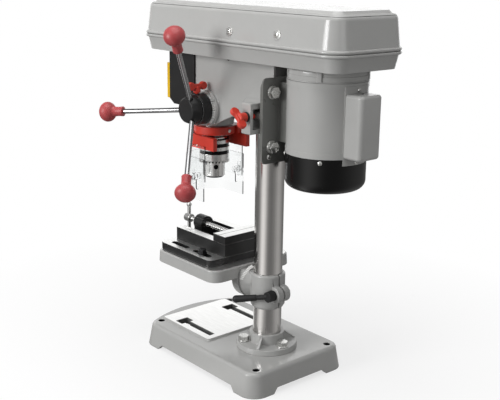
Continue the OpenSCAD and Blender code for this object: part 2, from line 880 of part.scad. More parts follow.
// Frame of jaw k: its foot on the jaw axis at the tip, +Z up the slope
module at_jaw(k) {
  translate([0, spindle_y, jaw_tip_z]) rotate(120 * k) translate([jaw_tip_rho, 0, 0])
    rotate([0, jaw_slope, 0]) children();
}

module chuck_body() {
  core_z = sleeve_z - chuck_z;
  color("#b9bcc0") difference() {
    translate([0, spindle_y, chuck_z]) rotate_extrude()
      polygon([[0, 0], [nose_d / 2 - 3, 0], [nose_d / 2, 3], [nose_d / 2, core_z + 4],
               [chuck_core_d / 2, core_z + 10],
               [chuck_core_d / 2, core_z + sleeve_h + air], [chuck_core_d / 2 + 2, core_z + sleeve_h + air],
               [chuck_core_d / 2 + 2, chuck_l - 1], [chuck_core_d / 2 + 1, chuck_l], [0, chuck_l]]);
    translate([0, spindle_y, chuck_top - taper_l]) cylinder(d1 = taper_d1, d2 = taper_d2, h = taper_l);
    translate([0, spindle_y, chuck_top]) cylinder(d = taper_d2, h = over);
    translate([0, spindle_y, chuck_z - over]) cylinder(d = chuck_capacity + 2, h = chuck_l - taper_l - 10);
    for (k = [0:2]) {
      at_jaw(k) translate([0, 0, -10]) cylinder(d = jaw_d + 2 * fit, h = jaw_l + 14);
      translate([0, spindle_y, sleeve_z - 7]) rotate(120 * k + 60) x_bar(key_hole_d, nose_d / 2 - 7, nose_d);
    }
  }
}

module chuck_sleeve() {
  groove = 0.8;
  band = 6;
  color("#8a8d91") translate([0, spindle_y, sleeve_z]) difference() {
    cylinder(d = chuck_d, h = sleeve_h);
    translate([0, 0, -over]) cylinder(d = sleeve_relief_d, h = sleeve_h - sleeve_seat_h + over);
    translate([0, 0, -over]) cylinder(d = chuck_core_d + 2 * fit, h = sleeve_h + 2 * over);
    for (z = [tooth_h + 10, tooth_h + 10 + 2 * band, tooth_h + 10 + 4 * band])
      translate([0, 0, z]) tube(chuck_d + 2, chuck_d - 2 * groove, band);
    for (a = [0:360 / sleeve_teeth:359]) rotate(a) translate([chuck_d / 2, 0, 0])
      rotate([90, 0, 90]) linear_extrude(12, center = true)
        polygon([[-2, -over], [2, -over], [0.9, tooth_h], [-0.9, tooth_h]]);
  }
}

// Jaw pin, its tip ground to two faces that meet on the gripping edge
module chuck_jaw(k) {
  edge = chuck_capacity / 2;
  color("#6f7377") difference() {
    at_jaw(k) cylinder(d = jaw_d, h = jaw_l);
    translate([0, spindle_y, jaw_tip_z - jaw_l / 2]) rotate(120 * k) translate([edge, 0, 0])
      linear_extrude(2 * jaw_l)
      polygon([[0, 0], [-20 * cos(60), 20 * sin(60)], [-40, 20 * sin(60)], [-40, -20 * sin(60)],
               [-20 * cos(60), -20 * sin(60)]]);
    translate([0, spindle_y, chuck_z - 20]) cylinder(d = chuck_d, h = 20.5);
  }
}
module chuck_jaw_1() { chuck_jaw(0); }
module chuck_jaw_2() { chuck_jaw(1); }
module chuck_jaw_3() { chuck_jaw(2); }

// U in plan round the chuck: a half ring at the front and two straight arms back to the given line
module guard_plan(r, t, rear) {
  translate([0, guard_curve_y]) difference() {
    union() {
      circle(r);
      translate([-r, 0]) square([2 * r, rear - guard_curve_y]);
    }
    circle(r - t);
    translate([t - r, 0]) square([2 * (r - t), max(rear - guard_curve_y, r) + over]);
  }
}

module guard_ring() {
  lug_w = 2 * (guard_r - guard_bar / 2 - quill_collar_d / 2 - 4);
  color(red) translate([0, spindle_y, guard_ring_z]) {
    difference() {
      union() {
        cylinder(d = guard_ring_d, h = guard_ring_h);
        translate([guard_pin_x - 8, -2, 0]) cube([lug_w, 33, guard_ring_h]);
        rotate(-75) translate([quill_collar_d / 2 + 4, -7, 0]) cube([22, 14, guard_ring_h]);
      }
      translate([0, 0, -over]) cylinder(d = quill_collar_d, h = guard_ring_h + 2 * over);
    }
    translate([guard_pin_x, guard_pin_y - spindle_y, guard_low - guard_ring_z - 1])
      cylinder(d = guard_pin_d, h = guard_ring_z - guard_low + 2);
  }
}

module guard_frame() {
  color(red) difference() {
    translate([0, 0, guard_low]) linear_extrude(guard_frame_h) guard_plan(guard_r, guard_bar, guard_arm_y);
    translate([guard_pin_x, guard_pin_y, guard_low - over])
      cylinder(d = guard_pin_d + 2 * fit, h = guard_frame_h + 2 * over);
  }
}

module guard_panel() {
  color(clear, 0.4) difference() {
    translate([0, 0, panel_low]) linear_extrude(guard_top - panel_low)
      guard_plan(guard_r + panel_t, panel_t, panel_rear);
    translate([0, nut_y, nut_z]) x_bar(nut_d + 2 * fit, -visor_r - nut_reach, visor_r + nut_reach);
  }
}

module guard_visor() {
  color(clear, 0.4) difference() {
    translate([0, 0, visor_low]) linear_extrude(visor_h) guard_plan(visor_r + panel_t, panel_t, panel_rear);
    for (z = [nut_z - visor_travel - 0.5, nut_z]) translate([0, nut_y, z])
      x_bar(nut_d + 0.6, -visor_r - nut_reach, visor_r + nut_reach);
    translate([0, nut_y, nut_z - visor_travel / 2])
      cube([2 * (visor_r + nut_reach), nut_d + 0.6, visor_travel + 0.5], center = true);
  }
}

// Wing nut and screw that clamp the visor, along +X
module guard_nut() {
  color(clear, 0.6) translate([0, nut_y, nut_z]) {
    x_bar(2.2 * nut_d, guard_r - 2.5, guard_r - 0.1);
    x_bar(nut_d, guard_r - over, visor_r + panel_t + nut_reach);
    x_bar(12, visor_r + panel_t + 0.3, visor_r + panel_t + 7);
    translate([visor_r + panel_t + 6, 0, 0]) cube([6, 2.5, 24], center = true);
  }
}
module guard_nut_right() { guard_nut(); }
module guard_nut_left() { mirror([1, 0, 0]) guard_nut(); }

function involute(a) = tan(a) - a * PI / 180;

// Half of a pinion tooth's angle at radius r, in degrees
function tooth_half(r) =
  let (base_r = pinion_r * cos(pressure_angle), a = acos(min(1, base_r / r)))
  90 / pinion_teeth + (involute(pressure_angle) - involute(a) - backlash / pinion_r / 2) * 180 / PI;

pinion_radii = [for (k = [0:4]) pinion_root_r + (pinion_tip_r - pinion_root_r) * k / 4];

// Outline of the pinion, one tooth pointing along -x
function pinion_points() = [for (i = [0:pinion_teeth - 1])
  let (mid = 180 + i * 360 / pinion_teeth)
  each concat([for (r = pinion_radii) [r, mid - tooth_half(r)]],
              [for (k = [4:-1:0]) [pinion_radii[k], mid + tooth_half(pinion_radii[k])]])];

module feed_shaft() {
  color(steel) translate([0, feed_y, feed_z]) {
    x_bar(feed_shaft_d, -spring_boss_x - spring_cap_w + spring_cap_wall + 1, hub_x + hub_w - 2);
    rotate([90, 0, 90]) linear_extrude(pinion_w, center = true)
      polygon([for (p = pinion_points()) p[0] * [cos(p[1]), sin(p[1])]]);
  }
}

module feed_scale() {
  color("#e9e7e0") translate([0, feed_y, feed_z]) difference() {
    union() {
      x_bar(scale_d, scale_x, scale_x + scale_t);
      x_bar(feed_bush_d, pinion_w / 2 + 14, scale_x + 1);
    }
    x_bar(feed_shaft_d + 2 * fit, 0, scale_x + scale_t + over);
  }
}

// Frame of one handle rod: +Z along the rod, foot on the hub axis
module at_rods() {
  for (a = rod_angles) translate([rod_x, feed_y, feed_z]) rotate([a - 90, 0, 0])
    rotate([0, rod_lean, 0]) children();
}

module feed_hub() {
  color(black) difference() {
    translate([0, feed_y, feed_z]) {
      x_bar(hub_sleeve_d, depth_ring_x - air + 0.3, hub_x + 1);
      rotate([0, 90, 0]) rotate_extrude()
        polygon([[0, hub_x], [hub_d / 2 - 1, hub_x], [hub_d / 2, hub_x + 1], [hub_d / 2, hub_x + 6],
                 [hub_face_d / 2 + 1.5, hub_x + hub_w - 1.5], [hub_face_d / 2, hub_x + hub_w],
                 [0, hub_x + hub_w]]);
    }
    translate([0, feed_y, feed_z]) x_bar(feed_shaft_d, hub_x - 40, hub_x + hub_w - 2);
    at_rods() translate([0, 0, rod_seat]) cylinder(d = rod_d, h = hub_d);
  }
}

module feed_rods() {
  color(steel) at_rods() translate([0, 0, rod_seat]) cylinder(d = rod_d, h = rod_l + rod_in_knob - rod_seat);
}

// Half section of a knob: straight neck, hollow fillet, ball flattened along its axis
module knob_section() {
  neck_r = knob_neck_d / 2;
  flat = 3;
  ball_r = knob_d / 2 - flat;
  difference() {
    union() {
      translate([0, 1.5]) square([neck_r, knob_neck_l]);
      square([neck_r - 1.5, 3]);
      translate([neck_r - 1.5, 1.5]) circle(1.5);
      translate([0, knob_neck_l - ball_r]) square([flat, 2 * ball_r]);
      translate([flat, knob_neck_l]) circle(ball_r);
      square([neck_r + 3.3, knob_neck_l]);
    }
    translate([neck_r + knob_fillet, knob_neck_l - ball_r - 3]) circle(knob_fillet);
    translate([neck_r, -over]) square([knob_d, knob_neck_l - ball_r - 3 + over]);
    translate([-knob_d, -over]) square([knob_d, 2 * knob_d]);
  }
}

module feed_knobs() {
  color(red) at_rods() translate([0, 0, rod_l]) difference() {
    rotate_extrude() knob_section();
    translate([0, 0, -over]) cylinder(d = rod_d, h = rod_in_knob + over);
  }
}

module depth_ring() {
  color(black) translate([0, feed_y, feed_z]) difference() {
    rotate([0, 90, 0]) rotate_extrude()
      polygon([[0, depth_ring_x], [depth_ring_d / 2, depth_ring_x],
               [depth_ring_d / 2, depth_ring_x + depth_ring_w - 2],
               [depth_ring_d / 2 - 2, depth_ring_x + depth_ring_w], [0, depth_ring_x + depth_ring_w]]);
    x_bar(hub_sleeve_d + 2 * fit, depth_ring_x - over, depth_ring_x + depth_ring_w + over);
    translate([lock_x, 0, 0]) cylinder(d = lock_stem_d + 2 * fit, h = depth_ring_d);
  }
}

// Wing grip standing on a stem along +Z: a bar with a round lobe at each end
module wing_grip(stem_d, stem_l, wing_l, wing_h, wing_t, hub_d, hub_l) {
  cylinder(d = stem_d, h = stem_l + hub_l);
  translate([0, 0, stem_l]) cylinder(d = hub_d, h = hub_l + wing_h / 3);
  translate([0, 0, stem_l + hub_l - 2]) rotate([90, 0, 0]) linear_extrude(wing_t, center = true)
    translate([0, wing_h / 2]) {
      square([wing_l - wing_h, wing_h / 2], center = true);
      for (k = [-1, 1]) translate([k * (wing_l - wing_h) / 2, 0]) circle(d = wing_h);
    }
}

module depth_lock() {
  stem = depth_ring_d / 2 - hub_sleeve_d / 2 - 0.8;
  color(red) translate([lock_x, feed_y, feed_z + hub_sleeve_d / 2 + 0.8])
    wing_grip(lock_stem_d, stem + 1.5, lock_wing_l, 13, 7, 12, 6);
}

module spring_cap() {
  color(black) translate([-spring_boss_x, feed_y, feed_z]) rotate([0, -90, 0]) difference() {
    union() {
      cylinder(d = spring_cap_d, h = spring_cap_w - 3);
      cylinder(d = spring_cap_d - 6, h = spring_cap_w);
    }
    translate([0, 0, -over])
      cylinder(d = spring_cap_d - 2 * spring_cap_wall, h = spring_cap_w - 3 - spring_cap_wall + over);
    translate([0, 0, -over]) cylinder(d = feed_shaft_d + 4, h = spring_cap_w - spring_cap_wall + over);
  }
}

// Clock spring between the feed shaft and its cap, one strip wound by a spiral
module return_spring() {
  r0 = feed_shaft_d / 2 + 1;
  r1 = spring_cap_d / 2 - spring_cap_wall - spring_strip - 0.3;
  steps = 24 * spring_turns;
  rise = (r1 - r0) / steps;
  inner = [for (k = [0:steps]) (r0 + rise * k) * [cos(15 * k), sin(15 * k)]];
  outer = [for (k = [steps:-1:0]) (r0 + rise * k + spring_strip) * [cos(15 * k), sin(15 * k)]];
  echo(least_spring_gap = 24 * rise - spring_strip);
  color(steel) translate([-spring_boss_x, feed_y, feed_z]) rotate([0, -90, 0])
    linear_extrude(spring_w) polygon(concat(inner, outer));
}

module motor_shell() {
  color(paint) translate([0, motor_axis, shell_z]) difference() {
    union() {
      cylinder(d = motor_d, h = motor_l);
      for (z = [0, motor_l - shell_ring_h]) translate([0, 0, z])
        cylinder(d = motor_d + 1.5, h = shell_ring_h);
    }
    translate([0, 0, -over]) cylinder(d = motor_shaft_d + 4, h = motor_l + 2 * over);
  }
}

module motor_bell() {
  edge = 9;
  color(paint) translate([0, motor_axis, shell_z + motor_l]) difference() {
    union() {
      rotate_extrude() {
        square([motor_d / 2 - edge, bell_h]);
        square([motor_d / 2, bell_h - edge]);
        translate([motor_d / 2 - edge, bell_h - edge]) intersection() {
          circle(edge);
          square(edge);
        }
      }
      for (a = [45:90:315]) rotate(a) translate([motor_d / 2 - 8, -6, 0]) cube([10, 12, 7]);
    }
    translate([0, 0, -over]) cylinder(d = motor_shaft_d + 2, h = bell_h + 2 * over);
  }
}

// Half section of the fan cover, closed at the bottom with a rounded edge, set in by the given margin
module fan_section(margin, top) {
  r = fan_cover_d / 2 - margin;
  e = fan_edge - margin;
  translate([0, margin]) {
    translate([0, e]) square([r, top - margin - e]);
    square([r - e, e]);
    translate([r - e, e]) intersection() {
      circle(e);
      translate([0, -e]) square(e);
    }
  }
}

module fan_cover() {
  color(black) translate([0, motor_axis, fan_z]) difference() {
    rotate_extrude() difference() {
      fan_section(0, fan_cover_h);
      fan_section(fan_cover_wall, fan_cover_h + over);
    }
    for (a = [0:360 / vent_count:359]) rotate(a) translate([30, 0, -over]) {
      translate([-14, -2.5, 0]) cube([24, 5, fan_cover_wall + 2 * over]);
    }
  }
}

module cooling_fan() {
  fan_r = fan_cover_d / 2 - fan_edge;
  color("#dcdad2") translate([0, motor_axis, fan_z + 12]) difference() {
    union() {
      cylinder(d = fan_hub_d, h = 22);
      translate([0, 0, 16]) cylinder(r = fan_r, h = 3);
      for (k = [0:fan_blades - 1]) rotate(k * 360 / fan_blades)
        translate([fan_hub_d / 2 - 2, -1, 1]) cube([fan_r - fan_hub_d / 2 - 2, 2, 17]);
    }
    translate([0, 0, -over]) cylinder(d = motor_shaft_d, h = 24);
  }
}

module rotor_shaft() {
  bottom = fan_z + 10;
  color(steel) translate([0, motor_axis, bottom])
    cylinder(d = motor_shaft_d, h = pulley_z + pulley_steps * step_h + 2 - bottom);
}

module capacitor_box() {
  depth = motor_d / 2 + capacitor_depth;
  color(paint) translate([0, motor_axis, 0]) difference() {
    union() {
      translate([0, 0, capacitor_z]) linear_extrude(capacitor_h) {
        translate([-capacitor_w / 2, 0]) square([capacitor_w, depth - capacitor_edge]);
        translate([capacitor_edge - capacitor_w / 2, 0]) square([capacitor_w - 2 * capacitor_edge, depth]);
        for (sx = [-1, 1]) translate([sx * (capacitor_w / 2 - capacitor_edge), depth - capacitor_edge])
          circle(capacitor_edge);
      }
      translate([-capacitor_w / 2 + 4, 0, capacitor_z - capacitor_flange])
        cube([capacitor_w - 8, motor_d / 2 + capacitor_flange_depth, capacitor_h + 2 * capacitor_flange]);
    }
    translate([0, 0, capacitor_z - 2 * capacitor_flange])
      cylinder(d = motor_d, h = capacitor_h + 4 * capacitor_flange);
    translate([0, 0, capacitor_z - 2 * capacitor_flange])
      cylinder(d = fan_cover_d + 1, h = shell_z + shell_ring_h + air - capacitor_z + 2 * capacitor_flange);
  }
}

module at_motor_bolts() {
  for (sx = [-1, 1], z = motor_bolt_z) translate([sx * motor_bolt_x, foot_y, z]) children();
}

module motor_plate() {
  color("#4a4a4a") difference() {
    union() {
      translate([0, foot_y, foot_z + foot_h / 2]) rotate([90, 0, 0]) linear_extrude(foot_t)
        rounded_rect(foot_w, foot_h, foot_corner);
      translate([-foot_web_w / 2, foot_y - over, shell_z + shell_ring_h + over])
        cube([foot_web_w, motor_axis - foot_y - foot_web_back, motor_l - 2 * shell_ring_h - 2 * over]);
    }
    translate([0, motor_axis, foot_z]) cylinder(d = motor_d, h = shell_z + motor_l - foot_z);
    at_motor_bolts() y_bar(bolt_hole_d, -foot_t - over, over);
  }
}

module motor_slide() {
  y0 = foot_y - foot_t;
  z0 = shell_z - 8;
  color("#55585a") difference() {
    union() {
      translate([0, y0, z0 + slide_plate_h / 2]) rotate([90, 0, 0]) linear_extrude(foot_t)
        rounded_rect(foot_w, slide_plate_h, foot_corner);
      for (sx = [-1, 1]) translate([sx * bar_x, 0, bar_z]) y_bar(bar_d, bar_bore_y + slack_travel + air, y0);
    }
    at_motor_bolts() y_bar(bolt_d, -2 * foot_t - over, over);
  }
}

module motor_bolts() {
  color(steel) at_motor_bolts() rotate([-90, 0, 0])
    hex_bolt(bolt_d, 2 * foot_t, hex_d, hex_h, washer_d + 2, washer_t);
}

module tension_screw() {
  stem0 = bar_x + bar_d / 2 + 0.3;
  face = head_w / 2 + ear_w;
  color(red) translate([stem0, tension_y, bar_z]) rotate([45, 0, 0]) rotate([0, 90, 0])
    wing_grip(tension_d, face - stem0 + 3, 36, 14, 6, 14, 8);
}

// Frame on the tilt axis at the face where bracket and table meet, +Z towards the column
module at_tilt() {
  translate([0, mate_y, tilt_z]) rotate([-90, 0, 0]) children();
}

module table_bracket() {
  collar_r = collar_d / 2;
  color(paint) difference() {
    union() {
      translate([0, column_y, collar_z]) rotate_extrude()
        polygon([[0, 0], [collar_r - 3, 0], [collar_r, 5], [collar_r, collar_h - 2],
                 [collar_r - 2, collar_h], [0, collar_h]]);
      difference() {
        at_tilt() {
          translate([0, 0, tilt_gap]) cylinder(r = tilt_r, h = 4);
          translate([0, 0, 4]) cylinder(r1 = tilt_r, r2 = tilt_r - 13, h = 26);
        }
        translate([-tilt_r - over, mate_y - over, collar_z + collar_h])
          cube([2 * tilt_r + 2 * over, 40, tilt_r]);
      }
      translate([0, clamp_y, clamp_z]) x_bar(2 * clamp_ear_r, -clamp_ear_w / 2, clamp_ear_w / 2);
      translate([-clamp_ear_w / 2, column_y + 18, clamp_z - clamp_ear_r])
        cube([clamp_ear_w, clamp_y - column_y - 18, 2 * clamp_ear_r]);
    }
    translate([0, column_y, collar_z - over]) cylinder(d = column_d + 2 * fit, h = collar_h + 2 * over);
    translate([-slit_w / 2, column_y, collar_z - over]) cube([slit_w, 60, collar_h + 2 * over]);
    translate([0, clamp_y, clamp_z]) {
      x_bar(clamp_bolt_d, -clamp_ear_w, clamp_ear_w);
      x_bar(lever_hub_d + 2 * air, clamp_ear_w / 2, collar_d);
      x_bar(lever_hub_d + 2 * air, -collar_d, -clamp_ear_w / 2);
    }
    translate([0, 0, tilt_z]) y_bar(tilt_bolt_d + 2 * fit, mate_y - over, column_y);
  }
}

module clamp_bolt() {
  half = clamp_ear_w / 2;
  color(steel) translate([0, clamp_y, clamp_z]) {
    x_bar(clamp_bolt_d, -half - 1, half + 12);
    translate([-half - 6, 0, 0]) rotate([0, 90, 0]) cylinder(d = 14, h = 6, $fn = 6);
  }
}

module clamp_lever() {
  half = clamp_ear_w / 2;
  tilt = acos(lever_dir[2] / norm(lever_dir));
  turn = atan2(lever_dir[1], lever_dir[0]);
  color(black) difference() {
    translate([0, clamp_y, clamp_z]) {
      x_bar(lever_hub_d, half + 0.3, half + 14);
      translate([half + 8, 0, 0]) rotate([0, tilt, turn]) {
        cylinder(d = 8, h = lever_l);
        translate([0, 0, 22]) cylinder(d1 = 10, d2 = 12, h = lever_l - 22);
        translate([0, 0, lever_l]) sphere(d = 12);
      }
    }
    translate([0, clamp_y, clamp_z]) x_bar(clamp_bolt_d + 2 * fit, 0, half + 12.2);
  }
}

// Slot along Y with round ends
module slot_plan(w, l) {
  square([w, l - w], center = true);
  for (k = [-1, 1]) translate([0, k * (l - w) / 2]) circle(d = w);
}

module table() {
  color(paint) difference() {
    union() {
      translate([0, table_y, table_top - table_rim])
        shell_tray(table_w, table_l, table_corner, table_rim, 1, 3, table_wall, table_t);
      intersection() {
        at_tilt() translate([0, 0, -tilt_boss_t]) cylinder(r = tilt_r + 1, h = tilt_boss_t);
        translate([-tilt_r - 2, mate_y - tilt_boss_t - over, tilt_z - tilt_r - 2])
          cube([2 * tilt_r + 4, tilt_boss_t + over, tilt_r + 2 + tilt_drop - table_t / 2]);
      }
    }
    translate([0, 0, tilt_z]) y_bar(tilt_bolt_d + 2 * fit, mate_y - tilt_boss_t - over, mate_y + over);
    for (sx = [-1, 1]) translate([sx * table_slot_x, vice_y, table_top - table_t - over])
      linear_extrude(table_t + 2 * over) slot_plan(vice_slot_w, table_slot_l);
  }
}

module tilt_bolt() {
  color(steel) translate([0, mate_y - tilt_boss_t, tilt_z]) rotate([90, 0, 0])
    hex_bolt(tilt_bolt_d, tilt_boss_t + 9, hex_d, hex_h, washer_d + 2, washer_t);
}

module vice_slots() {
  for (sx = [-1, 1], sy = [-1, 1]) translate([sx * table_slot_x, vice_y + sy * vice_slot_y])
    slot_plan(vice_slot_w, vice_slot_l);
}

module vice_body() {
  wall_l = vice_l - 8;
  color(black) difference() {
    union() {
      translate([0, vice_y, table_top]) linear_extrude(vice_t) rounded_rect(vice_w, vice_l, vice_corner);
      for (sx = [-1, 1]) translate([sx < 0 ? -jaw_w / 2 : vice_wall_x, vice_rear - wall_l, table_top])
        cube([jaw_w / 2 - vice_wall_x, wall_l, vice_wall_h]);
      translate([-jaw_w / 2, vice_rear - fixed_jaw_t, table_top]) cube([jaw_w, fixed_jaw_t, jaw_h]);
      translate([-vice_wall_x - over, nut_ring_y - nut_ring_t, table_top])
        cube([2 * vice_wall_x + 2 * over, nut_ring_t, vice_screw_z - 12]);
      translate([-nut_ring_d / 2 + 2, nut_ring_y - nut_ring_t, table_top])
        cube([nut_ring_d - 4, nut_ring_t, vice_screw_z - 4]);
      translate([0, 0, screw_z]) y_bar(nut_ring_d, nut_ring_y - nut_ring_t, nut_ring_y);
    }
    translate([0, 0, screw_z])
      y_bar(vice_screw_d + 2 * fit, nut_ring_y - nut_ring_t - over, nut_ring_y + over);
    translate([0, 0, table_top - over]) linear_extrude(vice_t + 2 * over) vice_slots();
    translate([-vice_wall_x + 6, nut_ring_y + 6, table_top - over])
      cube([2 * vice_wall_x - 12, vice_rear - fixed_jaw_t - nut_ring_y - 30, vice_t + 2 * over]);
  }
}

module vice_jaw() {
  face = vice_rear - fixed_jaw_t - jaw_gap;
  color(black) difference() {
    union() {
      translate([-jaw_w / 2, face - moving_jaw_t, table_top + vice_wall_h + 0.3])
        cube([jaw_w, moving_jaw_t, jaw_h - vice_wall_h - 0.3]);
      translate([0.3 - vice_wall_x, face - moving_jaw_t, table_top + vice_t + 0.3])
        cube([2 * vice_wall_x - 0.6, moving_jaw_t, jaw_h - vice_t - over]);
      translate([0.3 - vice_wall_x, face - jaw_tongue_l, table_top + vice_t + 0.3])
        cube([2 * vice_wall_x - 0.6, jaw_tongue_l, vice_screw_z - vice_t - 8]);
    }
    translate([0, 0, screw_z]) y_bar(vice_screw_d + 2 * fit, face - moving_jaw_t - over, face - 3);
  }
}

module vice_screw() {
  face = vice_rear - fixed_jaw_t - jaw_gap;
  color(steel) difference() {
    translate([0, 0, screw_z]) {
      y_bar(vice_screw_d, screw_head_y, face - 3.3);
      y_bar(screw_head_d, screw_head_y - 7, screw_head_y + 7);
    }
    translate([0, screw_head_y, screw_z - screw_head_d])
      cylinder(d = vice_bar_d + 2 * fit, h = 2 * screw_head_d);
  }
}

module vice_bar() {
  color(steel) translate([0, screw_head_y, screw_z]) {
    translate([0, 0, -vice_bar_l / 2]) cylinder(d = vice_bar_d, h = vice_bar_l);
    for (sz = [-1, 1]) translate([0, 0, sz * vice_bar_l / 2]) sphere(d = bar_ball_d);
  }
}

module vice_bolts() {
  color(steel) for (sx = [-1, 1]) translate([sx * table_slot_x, vice_y + vice_slot_y, table_top + vice_t]) {
    hex_bolt(8, vice_t + table_t + 9, 14, 6, 16, 1.6);
    translate([0, 0, -vice_t - table_t - 6.5]) cylinder(d = 14, h = 6.5, $fn = 6);
  }
}

// Side view of the switch box with its cut lower front corner, set in by the given margin
module switch_side(margin, rear) {
  front = switch_front + margin;
  low = switch_z + margin;
  high = switch_z + switch_h - margin;
  polygon([[rear, high], [front, high], [front, switch_z + switch_chamfer[1]],
           [switch_front + switch_chamfer[0], low], [rear, low]]);
}

module switch_box() {
  color(black) difference() {
    union() {
      difference() {
        rotate([90, 0, 90]) linear_extrude(switch_w, center = true) switch_side(0, switch_rear);
        rotate([90, 0, 90]) linear_extrude(head_w, center = true)
          switch_side(switch_wall, switch_rear + over);
      }
      for (sx = [-1, 1]) translate([sx * (flap_w / 4 + 5) - 3, flap_hinge_y - 3.5, flap_hinge_z - 3.5])
        cube([6, switch_front - flap_hinge_y + 3.5 + over, 7]);
      translate([0, flap_hinge_y, flap_hinge_z]) x_bar(flap_pin_d, -flap_w / 4 - 5, flap_w / 4 + 5);
    }
    translate([0, spindle_y, switch_z - over]) cylinder(d = quill_boss_d, h = switch_h + 2 * over);
    translate([0, 0, switch_z - over]) linear_extrude(switch_h + 2 * over) head_plan(0, head_rear);
    translate([0, 0, start_z])
      y_bar(start_d + 2 * fit, switch_front - over, switch_front + switch_wall + over);
  }
}

module switch_flap() {
  y0 = switch_front - 0.4;
  color("#e3b81c") difference() {
    union() {
      translate([-flap_w / 2, y0 - flap_t + 4, flap_top - flap_h]) cube([flap_w, flap_t - 4, flap_h - 3]);
      translate([flap_rim - flap_w / 2, y0 - flap_t, flap_top - flap_h + flap_rim])
        cube([flap_w - 2 * flap_rim, flap_t, flap_h - 2 * flap_rim - 3]);
      translate([0, flap_hinge_y, flap_hinge_z]) x_bar(7, -flap_w / 4 + 3, flap_w / 4 - 3);
      translate([3 - flap_w / 4, flap_hinge_y - 3.5, flap_top - 6])
        cube([flap_w / 2 - 6, 5, flap_hinge_z - flap_top + 6]);
    }
    translate([flap_wall - flap_w / 2, y0 - flap_t + 4 + flap_wall, flap_top - flap_h + flap_wall])
      cube([flap_w - 2 * flap_wall, flap_t, flap_h - 3 - 2 * flap_wall]);
    translate([0, flap_hinge_y, flap_hinge_z]) x_bar(flap_pin_d + 2 * fit, -flap_w, flap_w);
    translate([0, 0, mushroom_z]) y_bar(12 + 2 * fit, y0 - 2 * flap_t, y0);
  }
}

module stop_button() {
  face = switch_front - 0.4 - flap_t - button_travel - 1;
  color(red) translate([0, 0, mushroom_z]) {
    y_bar(12, face - 1, switch_front - button_travel - 2);
    translate([0, face, 0]) rotate([90, 0, 0]) rotate_extrude() {
      square([mushroom_d / 2 - 4, 9]);
      square([mushroom_d / 2, 5]);
      translate([mushroom_d / 2 - 4, 5]) intersection() {
        circle(4);
        square(4);
      }
    }
  }
}

module start_button() {
  color("#2f9a4a") translate([0, 0, start_z]) {
    y_bar(start_d, switch_front - 4.5, switch_front + switch_wall + 2);
    y_bar(start_d + 4, switch_front + switch_wall + 0.3, switch_front + switch_wall + 2.5);
  }
}

base();
column_flange();
flange_bolts();
column();
head_casting();
belt_pan();
v_belt();
pulley_bearings();
spring_cap();
return_spring();
feed_scale();
switch_box();
hinge_pins();
belt_lid();
spindle_pulley();
quill();
quill_bearings();
guard_ring();
guard_frame();
guard_panel();
guard_visor();
guard_nut_right();
guard_nut_left();
spindle();
chuck_body();
chuck_sleeve();
chuck_jaw_1();
chuck_jaw_2();
chuck_jaw_3();
feed_shaft();
feed_hub();
feed_rods();
feed_knobs();
depth_ring();
depth_lock();
motor_shell();
motor_bell();
fan_cover();
capacitor_box();
motor_plate();
motor_slide();
motor_bolts();
rotor_shaft();
motor_pulley();
cooling_fan();
tension_screw();
table_bracket();
clamp_bolt();
clamp_lever();
table();
tilt_bolt();
vice_body();
vice_jaw();
vice_screw();
vice_bar();
vice_bolts();
switch_flap();
stop_button();
start_button();
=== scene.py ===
import json

import bmesh
import bpy
import numpy as np
from mathutils import Matrix


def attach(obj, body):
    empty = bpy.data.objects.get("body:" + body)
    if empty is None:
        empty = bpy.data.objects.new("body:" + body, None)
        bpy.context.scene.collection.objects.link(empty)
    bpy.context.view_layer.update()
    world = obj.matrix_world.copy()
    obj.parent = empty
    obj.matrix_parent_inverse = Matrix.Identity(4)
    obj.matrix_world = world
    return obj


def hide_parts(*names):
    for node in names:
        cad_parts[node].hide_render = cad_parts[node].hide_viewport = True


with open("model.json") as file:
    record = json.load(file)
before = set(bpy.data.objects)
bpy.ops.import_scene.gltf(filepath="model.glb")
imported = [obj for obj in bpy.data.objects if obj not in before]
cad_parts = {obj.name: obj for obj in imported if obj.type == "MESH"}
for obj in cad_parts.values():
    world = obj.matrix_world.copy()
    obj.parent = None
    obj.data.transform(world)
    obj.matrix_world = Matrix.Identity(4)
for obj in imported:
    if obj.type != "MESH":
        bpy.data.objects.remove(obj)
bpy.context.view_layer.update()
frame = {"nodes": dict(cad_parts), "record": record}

# Viewpoint
# The machine is seen from behind its right shoulder, from about the height of the belt housing,
# through a long lens of 64 mm on a 36 mm frame.
view_turn, view_rise, view_roll = np.radians([139.27, 15.12, 0.76])
view_back = np.array([np.cos(view_rise) * np.sin(view_turn),
                      -np.cos(view_rise) * np.cos(view_turn), np.sin(view_rise)])
level_side = np.array([np.cos(view_turn), np.sin(view_turn), 0.0])
level_up = np.cross(view_back, level_side)
camera_place = np.eye(4)
camera_place[:3, 0] = level_side * np.cos(view_roll) + level_up * np.sin(view_roll)
camera_place[:3, 1] = level_up * np.cos(view_roll) - level_side * np.sin(view_roll)
camera_place[:3, 2] = view_back
camera_place[:3, 3] = [0.9126, 1.0768, 0.6532]
camera = bpy.data.objects.new("camera", bpy.data.cameras.new("camera"))
camera.matrix_world = Matrix(camera_place.tolist())
camera.data.sensor_fit = "HORIZONTAL"
camera.data.sensor_width = 36.0
camera.data.lens = 64.25
camera.data.clip_end = 60.0
bpy.context.scene.collection.objects.link(camera)
bpy.context.scene.camera = camera
bpy.context.scene.view_settings.view_transform = "Standard"


